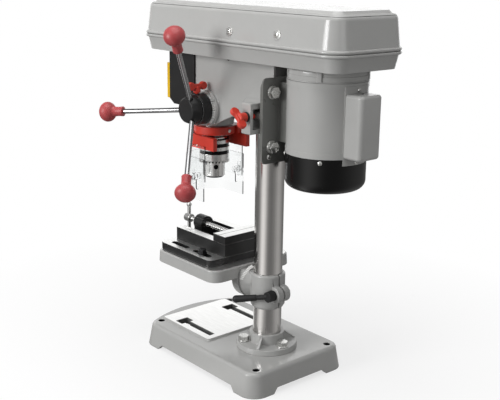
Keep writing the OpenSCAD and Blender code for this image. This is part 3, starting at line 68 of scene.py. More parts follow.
# Studio
# A white table top in a white room, lit by soft boxes overhead, at the handle side and, weakly, at the
# motor side, with a white card beyond the machine. The lens sees all of it white; bright metal and
# gloss see the table top as two broad beams.
def shade(tree, kind, sockets=None, out=0, **settings):
    """Adds one shader node; an input given as a socket is linked, any other is set as its constant."""
    made = tree.nodes.new(kind)
    for key, value in settings.items():
        setattr(made, key, value)
    for key, value in (sockets or {}).items():
        if isinstance(value, bpy.types.NodeSocket):
            tree.links.new(value, made.inputs[key])
        else:
            made.inputs[key].default_value = value
    return made.outputs[out]


def calc(tree, operation, *values):
    """One arithmetic node on sockets or numbers."""
    return shade(tree, "ShaderNodeMath", dict(enumerate(values)), operation=operation)


def between(tree, factor, first, second):
    """A colour that goes from first to second with the factor."""
    ends = [(*tone, 1.0) if isinstance(tone, tuple) else tone for tone in (first, second)]
    return shade(tree, "ShaderNodeMix", {0: factor, 6: ends[0], 7: ends[1]}, out=2, data_type="RGBA")


def spread(tree, value, low, high, start=0.3, stop=0.7):
    """A value between start and stop carried over to low to high, clamped."""
    return shade(tree, "ShaderNodeMapRange", {"Value": value, "From Min": start, "From Max": stop,
                                              "To Min": low, "To Max": high})


def glow(tree, strength, tone=(1.0, 1.0, 1.0, 1.0)):
    """A surface that gives light of one tone."""
    return shade(tree, "ShaderNodeEmission", {"Color": tone, "Strength": strength})


def ray_kinds(tree):
    """Two values: 1 for a ray from the lens or through clear plastic, and 1 for a mirrored ray."""
    rays = tree.nodes.new("ShaderNodeLightPath").outputs
    seen = calc(tree, "MAXIMUM", rays["Is Camera Ray"], rays["Is Transmission Ray"])
    return seen, calc(tree, "GREATER_THAN", rays["Is Glossy Ray"], seen)


def studio_sheet(name, corners):
    """A flat sheet of the studio through four corners, and the node tree of its own material."""
    mesh = bpy.data.meshes.new(name)
    mesh.from_pydata(corners, [], [(0, 1, 2, 3)])
    sheet = bpy.data.objects.new(name, mesh)
    bpy.context.scene.collection.objects.link(sheet)
    white = bpy.data.materials.new(name + "_white")
    white.use_nodes = True
    mesh.materials.append(white)
    return sheet, white.node_tree


def beam(tree, where, turn, power):
    """A soft beam that runs out from the middle: the cosine of the angle off turn, raised to a power."""
    toward = (float(np.cos(np.radians(turn))), float(np.sin(np.radians(turn))), 0.0)
    along = shade(tree, "ShaderNodeVectorMath", {0: where}, operation="NORMALIZE")
    share = shade(tree, "ShaderNodeVectorMath", {0: along, 1: toward}, out="Value", operation="DOT_PRODUCT")
    return calc(tree, "POWER", calc(tree, "MAXIMUM", share, 0.0), power)


room = bpy.data.worlds.new("room")
room.use_nodes = True
room_fill, room_mirrored = 0.24, 0.4
room_seen, room_glossy = ray_kinds(room.node_tree)
room_back = spread(room.node_tree, room_glossy, room_fill, room_mirrored, 0.0, 1.0)
room_strength = calc(room.node_tree, "MAXIMUM", room_back, room_seen)
room_light = room.node_tree.nodes["Background"]
room_light.inputs["Color"].default_value = (1.0, 1.0, 1.0, 1.0)
room.node_tree.links.new(room_strength, room_light.inputs["Strength"])
bpy.context.scene.world = room

floor_half, floor_drop = 9.0, 0.0002
floor, floor_tree = studio_sheet("floor", [(-floor_half, -floor_half, -floor_drop),
                                           (floor_half, -floor_half, -floor_drop),
                                           (floor_half, floor_half, -floor_drop),
                                           (-floor_half, floor_half, -floor_drop)])
floor_seen, floor_glossy = ray_kinds(floor_tree)
floor_where = shade(floor_tree, "ShaderNodeTexCoord", out="Object")
floor_away = shade(floor_tree, "ShaderNodeVectorMath", {0: floor_where}, out="Value", operation="LENGTH")
near_reach, far_reach = 0.25, 0.7
near_glow, far_glow = 0.7, 1.0
floor_glow = calc(floor_tree, "MULTIPLY", floor_seen,
                  spread(floor_tree, floor_away, near_glow, far_glow, near_reach, far_reach))
floor_tone = between(floor_tree, floor_seen, (0.3, 0.3, 0.3), (0.9, 0.9, 0.9))
floor_face = shade(floor_tree, "ShaderNodeBsdfDiffuse", {"Color": floor_tone})
floor_mix = shade(floor_tree, "ShaderNodeMixShader",
                  {0: floor_glow, 1: floor_face, 2: glow(floor_tree, 1.0)})
floor_beams = 0.2
for beam_turn, beam_power, beam_strength in ((6.0, 9.0, 0.95), (126.0, 6.0, 0.3)):
    floor_beams = calc(floor_tree, "MULTIPLY_ADD", beam(floor_tree, floor_where, beam_turn, beam_power),
                       beam_strength, floor_beams)
floor_mirror = glow(floor_tree, floor_beams, (1.0, 0.99, 0.98, 1.0))
floor_all = shade(floor_tree, "ShaderNodeMixShader", {0: floor_glossy, 1: floor_mix, 2: floor_mirror})
floor_tree.links.new(floor_all, floor_tree.nodes["Material Output"].inputs["Surface"])


def soft_box(name, place, target, size, watts):
    """A square area lamp at place, facing target."""
    lamp = bpy.data.objects.new(name, bpy.data.lights.new(name, "AREA"))
    lamp.data.size = size
    lamp.data.energy = watts
    back = np.array(place, float) - np.array(target, float)
    back /= np.linalg.norm(back)
    side = np.cross([0.0, 1.0, 0.0] if abs(back[2]) > 0.9 else [0.0, 0.0, 1.0], back)
    side /= np.linalg.norm(side)
    turn = np.eye(4)
    turn[:3, :3] = np.column_stack([side, np.cross(back, side), back])
    turn[:3, 3] = place
    lamp.matrix_world = Matrix(turn.tolist())
    lamp.visible_camera = False
    bpy.context.scene.collection.objects.link(lamp)


soft_box("overhead_box", (0.2, 0.2, 2.3), (0.0, 0.0, 0.3), 1.9, 33.0)
soft_box("handle_side_box", (2.1, -0.5, 0.95), (0.0, 0.0, 0.35), 0.9, 33.0)
soft_box("motor_side_box", (0.4, 2.3, 0.9), (0.0, 0.0, 0.35), 1.0, 4.0)
card_low, card_high, card_half = 0.02, 1.1, 1.6
card_foot = np.array([-1.0, -1.2]) + np.outer([-card_half, card_half], level_side[:2])
card, card_tree = studio_sheet("far_card", [(*card_foot[0], card_low), (*card_foot[1], card_low),
                                            (*card_foot[1], card_high), (*card_foot[0], card_high)])
card.visible_camera = False
card.visible_diffuse = False
card.visible_transmission = False
card.visible_shadow = False
card_tree.links.new(glow(card_tree, 1.4), card_tree.nodes["Material Output"].inputs["Surface"])

# Base
# A grey cast-iron foot on four corner pads, enamelled all over except for its raised work plate,
# which is ground bright. Its two T slots, its bench holes and its flange holes go right through.
MM = 0.001
nodes = frame["nodes"]
body_of = {node: body for body, members in frame["record"]["behaviour"]["bodies"].items() for node in members}


def blank_finish(name):
    """A new node material: returns it with its node tree, its main shader and its object coordinates."""
    material = bpy.data.materials.new(name)
    material.use_nodes = True
    tree = material.node_tree
    return material, tree, tree.nodes["Principled BSDF"], shade(tree, "ShaderNodeTexCoord", out="Object")


def cloud(tree, where, scale, detail=3.0, stretch=None):
    """A noise of the given scale, drawn out along an axis where stretch says so."""
    if stretch is not None:
        where = shade(tree, "ShaderNodeMapping", {"Vector": where, "Scale": stretch})
    return shade(tree, "ShaderNodeTexNoise", {"Vector": where, "Scale": scale, "Detail": detail,
                                              "Roughness": 0.6})


def tinted(tone, factor):
    """The same colour, lighter or darker."""
    return tuple(min(1.0, part * factor) for part in tone)


def relief(tree, shader, height, depth):
    """Links a height to the shader's normal as a relief of the given depth in metres."""
    bump = shade(tree, "ShaderNodeBump", {"Height": height, "Distance": depth, "Strength": 1.0})
    tree.links.new(bump, shader.inputs["Normal"])


def axis_part(tree, where, axis):
    """One coordinate of a place, in mm."""
    return calc(tree, "DIVIDE", shade(tree, "ShaderNodeSeparateXYZ", {"Vector": where}, out=axis), MM)


def at_heights(tree, where, heights, slack=0.06):
    """1 where the height in mm is within slack of one of the given heights, else 0."""
    up = axis_part(tree, where, "Z")
    found = calc(tree, "COMPARE", up, heights[0], slack)
    for height in heights[1:]:
        found = calc(tree, "MAXIMUM", found, calc(tree, "COMPARE", up, height, slack))
    return found


def enamel(name, tone, rough, peel, ground=(), dark=None):
    """Sprayed enamel: faint clouds of tone and an orange-peel relief; ground gives the heights of faces
    that are ground bright, and dark a mask of places where shade is painted near black."""
    material, tree, shader, where = blank_finish(name)
    clouds = cloud(tree, where, 22.0, 5.0)
    paint = between(tree, spread(tree, clouds, 0.0, 1.0), tinted(tone, 0.975), tinted(tone, 1.02))
    gloss = spread(tree, cloud(tree, where, 60.0), rough - 0.04, rough + 0.06)
    if dark is not None:
        # Painted shade: near black wherever the dark mask says.
        paint = between(tree, dark(tree, where), paint, (0.012, 0.012, 0.012))
    if ground:
        ground_rough = 0.36
        bright = at_heights(tree, where, ground)
        lines = cloud(tree, where, 1.0, 2.0, stretch=(900.0, 40.0, 900.0))
        steel = between(tree, spread(tree, lines, 0.0, 1.0), (0.78, 0.78, 0.77), (0.9, 0.9, 0.89))
        paint = between(tree, bright, paint, steel)
        gloss = calc(tree, "MULTIPLY_ADD", bright, calc(tree, "SUBTRACT", ground_rough, gloss), gloss)
        tree.links.new(bright, shader.inputs["Metallic"])
    tree.links.new(paint, shader.inputs["Base Color"])
    tree.links.new(gloss, shader.inputs["Roughness"])
    relief(tree, shader, cloud(tree, where, 420.0, 2.0), 0.00003 * peel)
    return material


def off_axis(tree, first, second):
    """The distance from an axis, by the two coordinates square to it."""
    square = calc(tree, "ADD", calc(tree, "MULTIPLY", first, first), calc(tree, "MULTIPLY", second, second))
    return calc(tree, "SQRT", square)


def in_twin_boxes(tree, where, low, high):
    """1 inside an upright box of two corners in mm, and inside its mirror image across the middle."""
    across = calc(tree, "ABSOLUTE", axis_part(tree, where, "X"))
    places = (across, axis_part(tree, where, "Y"), axis_part(tree, where, "Z"))
    inside = 1.0
    for place, start, stop in zip(places, low, high):
        within = calc(tree, "COMPARE", place, (start + stop) / 2.0, (stop - start) / 2.0)
        inside = calc(tree, "MULTIPLY", inside, within)
    return inside


plate_height = 42.0
bench_hole_x, bench_hole_y, bench_hole_radius = 77.5, 126.5, 5.56
slot_x, slot_front, slot_low, slot_high = 51.0, -103.1, 20.0, plate_height - 0.1
slot_half, slot_rear = 5.1, -16.9
slot_head_half, slot_head_rear = 12.1, -85.9


def base_painted_shade(tree, where):
    """1 near the axes of the four bench holes, and less on the walls of the T slots and their heads: where
    shade is painted near black.
    """
    off_x = calc(tree, "SUBTRACT", calc(tree, "ABSOLUTE", axis_part(tree, where, "X")), bench_hole_x)
    off_y = calc(tree, "SUBTRACT", calc(tree, "ABSOLUTE", axis_part(tree, where, "Y")), bench_hole_y)
    holes = calc(tree, "LESS_THAN", off_axis(tree, off_x, off_y), bench_hole_radius)
    slot = in_twin_boxes(tree, where, (slot_x - slot_half, slot_front, slot_low),
                         (slot_x + slot_half, slot_rear, slot_high))
    head = in_twin_boxes(tree, where, (slot_x - slot_head_half, slot_front, slot_low),
                         (slot_x + slot_head_half, slot_head_rear, slot_high))
    return calc(tree, "MAXIMUM", holes, calc(tree, "MULTIPLY", calc(tree, "MAXIMUM", slot, head), 0.75))


def dress(piece, body, finish):
    """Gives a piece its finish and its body."""
    piece.data.materials.clear()
    piece.data.materials.append(finish)
    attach(piece, body)


def eased(node, width, finish, segments=3, angle=38.0, inner=True):
    """A copy of a solid with its triangles merged, its flat faces joined and its sharp edges rounded;
    without inner, the edges of hollow corners stay sharp."""
    mesh = nodes[node].data.copy()
    work = bmesh.new()
    work.from_mesh(mesh)
    bmesh.ops.remove_doubles(work, verts=work.verts, dist=3e-6)
    bmesh.ops.dissolve_limit(work, angle_limit=np.radians(0.4), verts=work.verts, edges=work.edges)
    if not inner:
        outer_edges = work.edges.layers.float.new("bevel_weight_edge")
        for edge in work.edges:
            edge[outer_edges] = float(edge.is_convex and edge.calc_face_angle(0.0) > np.radians(angle))
    work.to_mesh(mesh)
    work.free()
    mesh.shade_smooth()
    piece = bpy.data.objects.new(node + "_eased", mesh)
    bpy.context.scene.collection.objects.link(piece)
    bevel = piece.modifiers.new("rounded", "BEVEL")
    bevel.width = width * MM
    bevel.segments = segments
    bevel.limit_method = "ANGLE" if inner else "WEIGHT"
    bevel.angle_limit = np.radians(angle)
    bevel.use_clamp_overlap = False
    bevel.miter_outer = "MITER_ARC"
    flats = piece.modifiers.new("flats", "WEIGHTED_NORMAL")
    flats.keep_sharp = True
    dress(piece, body_of[node], finish)
    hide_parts(node)


def coat(finish, *names):
    """Gives solids that keep their own shape a finish."""
    for name in names:
        nodes[name].data.materials.clear()
        nodes[name].data.materials.append(finish)


grey = (0.43, 0.43, 0.42)
# The base's enamel gets painted shade, near black, in its bench holes and T slots.
base_finish = enamel("grey_enamel_base", grey, 0.14, 0.3, ground=(plate_height,), dark=base_painted_shade)
eased("base", 0.9, base_finish, angle=42.0)
grey_finish = enamel("grey_enamel_castings", grey, 0.2, 0.4)
eased("column_flange", 0.9, grey_finish)


# Fasteners
# Zinc-plated hexagon bolts hold the flange, the motor and the table; those of the vice are blackened.
# Small pan-head screws with a cross recess hold the covers.
def metal(name, tone, rough, stretch=(400.0, 400.0, 400.0), depth=0.00001, contrast=0.12, marks=None):
    """Bare or plated metal: fine lines drawn out along an axis vary its tone, gloss and relief; marks
    gives a mask of places painted near black: print, dark grooves, and painted shade in holes and gaps."""
    material, tree, shader, where = blank_finish(name)
    lines = cloud(tree, where, 1.0, 4.0, stretch=stretch)
    stain = cloud(tree, where, 30.0, 3.0)
    drawn = between(tree, spread(tree, lines, 0.0, 1.0),
                    tinted(tone, 1.0 - contrast), tinted(tone, 1.0 + contrast))
    colour = between(tree, spread(tree, stain, 0.0, 0.25, 0.45, 0.8), drawn, tinted(tone, 0.78))
    # Near black where the marks mask says: print, dark grooves or painted shade.
    if marks is not None:
        colour = between(tree, marks(tree, where), colour, (0.014, 0.014, 0.014))
    tree.links.new(colour, shader.inputs["Base Color"])
    tree.links.new(spread(tree, lines, rough - 0.05, rough + 0.07), shader.inputs["Roughness"])
    shader.inputs["Metallic"].default_value = 1.0
    relief(tree, shader, lines, depth)
    return material


zinc = metal("zinc_plate", (0.7, 0.7, 0.68), 0.28)
for fastener in ("flange_bolts", "motor_bolts", "tilt_bolt", "clamp_bolt"):
    eased(fastener, 0.5, zinc)
coat(zinc, "hinge_pins")
black_oxide = metal("black_oxide", (0.03, 0.03, 0.032), 0.4)
eased("vice_bolts", 0.5, black_oxide)


def surface(name, points, body, finish, wrap=(False, True), sharp=34.0):
    """Quads through one or more grids of points in mm, each grid joined to itself where wrap says so;
    the outside is where the columns' direction crossed with the rows' direction points."""
    sheets = np.asarray(points, float)
    sheets = sheets.reshape(-1, *sheets.shape[-3:])
    count, rows, cols = sheets.shape[:3]
    ids = np.arange(rows * cols).reshape(rows, cols)
    ids = np.vstack([ids, ids[:1]]) if wrap[0] else ids
    ids = np.hstack([ids, ids[:, :1]]) if wrap[1] else ids
    quads = np.stack([ids[:-1, :-1], ids[:-1, 1:], ids[1:, 1:], ids[1:, :-1]], -1).reshape(-1, 4)
    quads = (quads[None] + (np.arange(count) * rows * cols)[:, None, None]).reshape(-1, 4)
    mesh = bpy.data.meshes.new(name)
    mesh.from_pydata((sheets.reshape(-1, 3) * MM).tolist(), [], quads.tolist())
    work = bmesh.new()
    work.from_mesh(mesh)
    bmesh.ops.remove_doubles(work, verts=work.verts, dist=1e-7)
    bmesh.ops.dissolve_degenerate(work, edges=work.edges, dist=1e-7)
    work.to_mesh(mesh)
    work.free()
    mesh.shade_smooth()
    mesh.set_sharp_from_angle(angle=np.radians(sharp))
    piece = bpy.data.objects.new(name, mesh)
    bpy.context.scene.collection.objects.link(piece)
    dress(piece, body, finish)
    return piece


def cross_frame(along):
    """Two unit vectors square to a direction and to each other, right-handed with it."""
    along = np.asarray(along, float)
    side = np.cross([0.0, 0.0, 1.0] if abs(along[2]) < 0.9 else [0.0, 1.0, 0.0], along)
    side /= np.linalg.norm(side)
    return side, np.cross(along, side)


def turned(profile, foot, along, steps=96):
    """Grid of a turned piece: each profile pair, radius and height, goes round the axis in even steps."""
    along = np.asarray(along, float) / np.linalg.norm(along)
    side, other = cross_frame(along)
    angle = np.linspace(0.0, 2.0 * np.pi, steps, endpoint=False)
    ring = np.cos(angle)[:, None] * side + np.sin(angle)[:, None] * other
    radius, height = np.asarray(profile, float).T
    return np.asarray(foot, float) + height[:, None, None] * along + radius[:, None, None] * ring[None]


def arc(centre, radius, start, stop, count=9):
    """Points of a circular arc between two angles in degrees."""
    angle = np.radians(np.linspace(start, stop, count))
    return np.column_stack([centre[0] + radius * np.cos(angle), centre[1] + radius * np.sin(angle)])


def ring_profile(bore, radius, low, high, edge):
    """Half section of a plain ring with rounded outer edges."""
    return np.vstack([[[bore, low]], arc((radius - edge, low + edge), edge, -90.0, 0.0, 6),
                      arc((radius - edge, high - edge), edge, 0.0, 90.0, 6), [[bore, high]]])


def pan_heads(places, facing, width):
    """Screw heads: a low dome over radius and angle, sunk wherever a point lies in one of two crossed
    bars, with a short rim below. The lengths are shares of the head's width."""
    rim, dome, sink, skirt = 0.12, 0.2, 0.2, -0.04
    bar_half, bar_slope, bar_reach, bar_end = 0.085, 0.025, 0.33, 0.04
    reach = np.concatenate([[1.0, 1.0], np.linspace(1.0, 0.0, 26)])
    angle = np.linspace(0.0, 2.0 * np.pi, 64, endpoint=False)
    across = np.outer(reach, np.cos(angle)) / 2.0
    along = np.outer(reach, np.sin(angle)) / 2.0
    near, far = np.minimum(abs(across), abs(along)), np.maximum(abs(across), abs(along))
    sunk = np.clip((bar_half - near) / bar_slope, 0.0, 1.0) * np.clip((bar_reach - far) / bar_end, 0.0, 1.0)
    rise = rim + dome * np.sqrt(np.clip(1.0 - reach ** 2, 0.0, 1.0))[:, None] - sink * sunk
    rise[0] = skirt
    heads = []
    for place, direction in zip(np.asarray(places, float), np.asarray(facing, float)):
        out = direction / np.linalg.norm(direction)
        side, other = cross_frame(out)
        head = across[..., None] * side + along[..., None] * other + rise[..., None] * out
        heads.append(place + width * head)
    return np.stack(heads)


# Column
# A seamless steel tube, centreless ground to a satin finish and oiled. It stands in the flange, and
# the head and the table's collar are clamped to it.
column_steel = metal("ground_column", (0.62, 0.605, 0.59), 0.17, (520.0, 520.0, 5.0), 0.0000004, 0.05)
coat(column_steel, "column")

# Table, bracket and clamp
# A small cast table tilts on its bracket, which a split collar clamps to the column. A printed strip
# on the bracket's round face shows the tilt, and a black lever tightens the collar.
eased("table_bracket", 1.2, grey_finish)
table_finish = enamel("grey_enamel_table", grey, 0.2, 0.4, ground=(172.0,))
eased("table", 0.7, table_finish)


def moulded(name, tone, rough, grain=700.0, depth=0.00002, shine=0.5):
    """Moulded plastic: an even tone with a fine spark-eroded grain and slightly uneven gloss."""
    material, tree, shader, where = blank_finish(name)
    mottle = cloud(tree, where, 45.0, 4.0)
    colour = between(tree, spread(tree, mottle, 0.0, 1.0), tinted(tone, 0.95), tinted(tone, 1.05))
    tree.links.new(colour, shader.inputs["Base Color"])
    tree.links.new(spread(tree, mottle, rough - 0.04, rough + 0.06), shader.inputs["Roughness"])
    shader.inputs["Specular IOR Level"].default_value = shine
    relief(tree, shader, cloud(tree, where, grain, 2.0), depth)
    return material


black_plastic = moulded("black_plastic", (0.011, 0.011, 0.0115), 0.42, shine=0.35)
eased("clamp_lever", 0.5, black_plastic)


def angle_marks(tree, first, second, count, width):
    """1 on lines at even angles round an axis, from the two coordinates square to it; width is the
    part of each step that a line takes."""
    turn = calc(tree, "DIVIDE", calc(tree, "ARCTAN2", second, first), 2.0 * np.pi)
    step = calc(tree, "FRACT", calc(tree, "ADD", calc(tree, "MULTIPLY", turn, float(count)), 10.0))
    return calc(tree, "LESS_THAN", step, width)


tilt_height = 148.0
tilt_print, tilt_tree, tilt_shader, tilt_where = blank_finish("tilt_print")
tilt_up = calc(tilt_tree, "SUBTRACT", axis_part(tilt_tree, tilt_where, "Z"), tilt_height)
tilt_marks = angle_marks(tilt_tree, axis_part(tilt_tree, tilt_where, "X"), tilt_up, 72, 0.2)
tilt_ink = between(tilt_tree, tilt_marks, (0.78, 0.78, 0.76), (0.05, 0.05, 0.05))
tilt_gloss = spread(tilt_tree, cloud(tilt_tree, tilt_where, 90.0), 0.3, 0.45)
tilt_tree.links.new(tilt_ink, tilt_shader.inputs["Base Color"])
tilt_tree.links.new(tilt_gloss, tilt_shader.inputs["Roughness"])
# The strip climbs round the cone of the bracket's boss and drifts back along the tilt axis; the cone's
# radius shrinks by half of that way. The four rows are the corners of its flat section.
cone_radius, cone_start, cone_slope = 34.0, 34.0, 0.5
strip_half, strip_lift = 2.4, 0.3
strip_run = np.linspace(1.0, 0.0, 60)
strip_turn = np.radians(6.0 + 52.0 * strip_run)
strip_y = 36.5 + 7.0 * strip_run + strip_half * np.array([-1.0, -1.0, 1.0, 1.0])[:, None]
strip_out = cone_radius - cone_slope * (strip_y - cone_start)
strip_out = strip_out + strip_lift * np.array([-1.0, 1.0, 1.0, -1.0])[:, None]
strip = np.stack([strip_out * np.cos(strip_turn), strip_y, tilt_height + strip_out * np.sin(strip_turn)], -1)
surface("tilt_strip", strip, "bracket", tilt_print, wrap=(False, False))

# Vice
# A black cast-iron drill vice; its flange, its rails and the tops of its jaws are ground bright.
# The screw has a two-start thread of 4 mm lead and a round head that the sliding bar goes through.
iron_black = (0.011, 0.011, 0.011)
vice_iron = enamel("black_iron", iron_black, 0.36, 1.6, ground=(183.5, 205.0, 218.0))
eased("vice_body", 0.6, vice_iron)
vice_jaw_iron = enamel("black_iron_jaw", iron_black, 0.36, 1.6, ground=(218.0, 217.5))
eased("vice_jaw", 0.5, vice_jaw_iron)
turned_steel = metal("turned_steel", (0.66, 0.66, 0.65), 0.24, (60.0, 900.0, 60.0))
coat(turned_steel, "vice_bar")


def threaded(foot, length, radius, depth, lead, starts):
    """Grid of a screw along +Y: the radius over height and angle is a trapezium wave of the height less
    the angle's share of the lead, and fades to the core at both ends."""
    step, steps, fade_length = 0.25, 48, 2.0
    height = np.arange(0.0, length, step)
    share = np.linspace(0.0, 1.0, steps, endpoint=False)
    wave = np.mod(starts * (height[:, None] / lead - share[None]), 1.0)
    crest = np.clip(2.2 * abs(2.0 * wave - 1.0) - 0.6, 0.0, 1.0)
    fade = np.clip(np.minimum(height, length - step - height) / fade_length, 0.0, 1.0)[:, None]
    reach = radius - depth * (1.0 - crest * fade)
    angle = 2.0 * np.pi * share
    along = np.broadcast_to(height[:, None], reach.shape)
    return np.asarray(foot, float) + np.stack([reach * np.sin(angle), along, reach * np.cos(angle)], -1)


vice_screw_height = 208.5
screw_thread = threaded((0.0, -139.0, vice_screw_height), 126.0, 4.0, 0.55, 4.0, 2)
# Half section of the screw's head: a drum with rounded edges and a short neck.
screw_head = np.vstack([[[0.0, -155.0]], arc((6.3, -153.8), 1.2, -90.0, 0.0, 6),
                        arc((6.3, -142.2), 1.2, 0.0, 90.0, 6), [[4.0, -141.0], [4.0, -139.0], [3.0, -138.5]]])
screw_piece = surface("vice_screw_thread", screw_thread, "vice_screw", turned_steel,
                      sharp=50.0)
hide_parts("vice_screw")
surface("vice_screw_head", turned(screw_head, (0.0, 0.0, vice_screw_height), (0.0, 1.0, 0.0)), "vice_screw",
        turned_steel)

# Head
# One enamelled casting carries the quill boss, the feed boss and the two ears that guide the motor's
# slide. A black set screw in its right wall locks it to the column.
eased("head_casting", 1.6, grey_finish, inner=False)
# Half section of the set screw: a chamfered rim round a flat recess.
set_screw = np.array([[2.8, -0.3], [2.8, 0.0], [2.6, 0.25], [1.5, 0.25], [1.3, -0.2], [0.0, -0.2]])
surface("set_screw", turned(set_screw, (35.0, 2.2, 503.6), (1.0, 0.0, 0.0), 24), "stand",
        black_oxide)

# Quill and spindle
# A turned steel sleeve slides in the head, and the spindle runs in it on two ball bearings. The motor's
# shaft and the feed shaft are turned from the same steel.
machined = metal("machined_steel", (0.42, 0.42, 0.41), 0.26, (30.0, 30.0, 1500.0))
coat(machined, "quill", "spindle", "rotor_shaft", "feed_shaft")
bearing_steel = metal("bearing_steel", (0.6, 0.6, 0.6), 0.2)
coat(bearing_steel, "pulley_bearings", "quill_bearings")

# Chuck
# A three-jaw chuck of ground steel. Its sleeve has three grooves, painted dark, and a toothed lower edge,
# which a key turns from one of the holes in the nose. Shade is painted between the teeth and inside the nose.
spindle_y = -76.0


def from_spindle(tree, where):
    """The two coordinates square to the spindle, in mm from its axis."""
    return axis_part(tree, where, "X"), calc(tree, "SUBTRACT", axis_part(tree, where, "Y"), spindle_y)


def sleeve_grooves_and_tooth_shade(tree, where):
    """1 in the three grooves of the chuck's sleeve, which are painted dark, and between the teeth of its
    lower edge, where shade is painted.
    """
    gaps = angle_marks(tree, *from_spindle(tree, where), 26, 0.5)
    teeth = calc(tree, "MULTIPLY", gaps, at_heights(tree, where, (326.2,), 1.6))
    return calc(tree, "MAXIMUM", at_heights(tree, where, (342.0, 354.0, 366.0), 3.0), teeth)


def nose_painted_shade(tree, where):
    """1 inside the chuck's nose, where shade is painted dark in the key holes and the mouth."""
    return calc(tree, "LESS_THAN", off_axis(tree, *from_spindle(tree, where)), 17.3)


chuck_tone = (0.66, 0.655, 0.645)
# Painted shade: the inside of the chuck's nose is painted near black.
chuck_steel = metal("chuck_steel", chuck_tone, 0.2, (400.0, 400.0, 6.0), 0.000001, marks=nose_painted_shade)
coat(chuck_steel, "chuck_body")
# The sleeve's grooves are painted dark, and shade is painted between its teeth.
sleeve_steel = metal("chuck_sleeve_steel", chuck_tone, 0.2, (40.0, 40.0, 1500.0), 0.000001,
                     marks=sleeve_grooves_and_tooth_shade)
eased("chuck_sleeve", 0.25, sleeve_steel, 2)
jaw_steel = metal("jaw_steel", (0.28, 0.285, 0.3), 0.3)
for jaw in ("chuck_jaw_1", "chuck_jaw_2", "chuck_jaw_3"):
    eased(jaw, 0.25, jaw_steel, 2, inner=False)

# Feed handle
# A black hub on the feed shaft carries three plated rods with moulded knobs. Behind it sit the depth
# ring with its red wing screw and a printed scale ring, which stays on the head.
feed_y, feed_z = -48.25, 421.0


def scale_print(tree, where):
    """1 on the marks of the depth scale: 60 round the ring, every fifth one longer."""
    first = calc(tree, "SUBTRACT", axis_part(tree, where, "Y"), feed_y)
    second = calc(tree, "SUBTRACT", axis_part(tree, where, "Z"), feed_z)
    out = axis_part(tree, where, "X")
    short = calc(tree, "MULTIPLY", angle_marks(tree, first, second, 60, 0.2),
                 calc(tree, "GREATER_THAN", out, 44.2))
    long = calc(tree, "MULTIPLY", angle_marks(tree, first, second, 12, 0.05),
                calc(tree, "GREATER_THAN", out, 42.2))
    return calc(tree, "MAXIMUM", short, long)


scale_metal = metal("scale_metal", (0.86, 0.86, 0.85), 0.32, marks=scale_print)
eased("feed_scale", 0.3, scale_metal)
eased("depth_ring", 0.5, black_plastic)
eased("feed_hub", 0.6, black_plastic)
chrome = metal("chrome_rod", (0.33, 0.33, 0.335), 0.12, depth=0.000001, contrast=0.04)
coat(chrome, "feed_rods")
hub_washer = ring_profile(16.0, 24.4, 63.55, 63.95, 0.15)
surface("hub_washer", turned(hub_washer, (0.0, feed_y, feed_z), (1.0, 0.0, 0.0)),
        "feed", chrome)
red_plastic = moulded("red_plastic", (0.62, 0.04, 0.022), 0.38)
eased("depth_lock", 1.2, red_plastic)


def flared(start, start_pull, stop_pull, stop, count):
    """Points of a cubic curve that leaves start towards its pull and comes to stop from its pull."""
    share = np.linspace(0.0, 1.0, count)[:, None]
    rest = 1.0 - share
    return (rest ** 3 * np.asarray(start) + 3.0 * share * rest ** 2 * np.asarray(start_pull)
            + 3.0 * share ** 2 * rest * np.asarray(stop_pull) + share ** 3 * np.asarray(stop))


# The three rods lean out of the hub's face at even angles. Each knob is turned round its rod: a flat
# ellipse for the ball, and a neck that flares from a rounded foot up to it.
rod_foot = np.array([66.0, feed_y, feed_z])
rod_turn, rod_lean = np.radians([66.0, 186.0, 306.0]), np.radians(29.0)
rod_run = np.column_stack([np.full(3, np.sin(rod_lean)), np.cos(rod_lean) * np.cos(rod_turn),
                           np.cos(rod_lean) * np.sin(rod_turn)])
knob_start, ball_radius, ball_half, ball_middle = 123.5, 16.4, 14.0, 30.0
ball_turn = np.radians(np.linspace(-50.0, 90.0, 44))
ball = np.column_stack([ball_radius * np.cos(ball_turn), ball_middle + ball_half * np.sin(ball_turn)])
neck = flared([7.6, 8.0], [7.6, 12.5], ball[0] - [3.2, 2.3], ball[0], 14)
knob_profile = np.vstack([[[4.0, 0.6]], arc((6.7, 2.0), 1.4, -90.0, 0.0, 7), neck, ball[1:]])
knob_profile[-1, 0] = 0.0
knob_plastic = moulded("knob_plastic", (0.42, 0.058, 0.062), 0.44, depth=0.000002)
knob_grids = np.stack([turned(knob_profile, rod_foot + knob_start * run, run, 80) for run in rod_run])
knobs = surface("knobs", knob_grids, "feed", knob_plastic)
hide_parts("feed_knobs")
spring_steel = metal("spring_steel", (0.2, 0.21, 0.25), 0.3)
coat(spring_steel, "return_spring")
eased("spring_cap", 0.8, black_plastic)
# Half section of the nut, which six steps round the axis make a hexagon with chamfered corners.
hexagon = np.array([[0.0, 0.0], [8.6, 0.0], [9.4, 0.8], [9.4, 4.6], [8.6, 5.4], [0.0, 5.4]])
surface("spring_nut", turned(hexagon, (-57.0, feed_y, feed_z), (-1.0, 0.0, 0.0), 6), "stand", zinc,
        sharp=20.0)

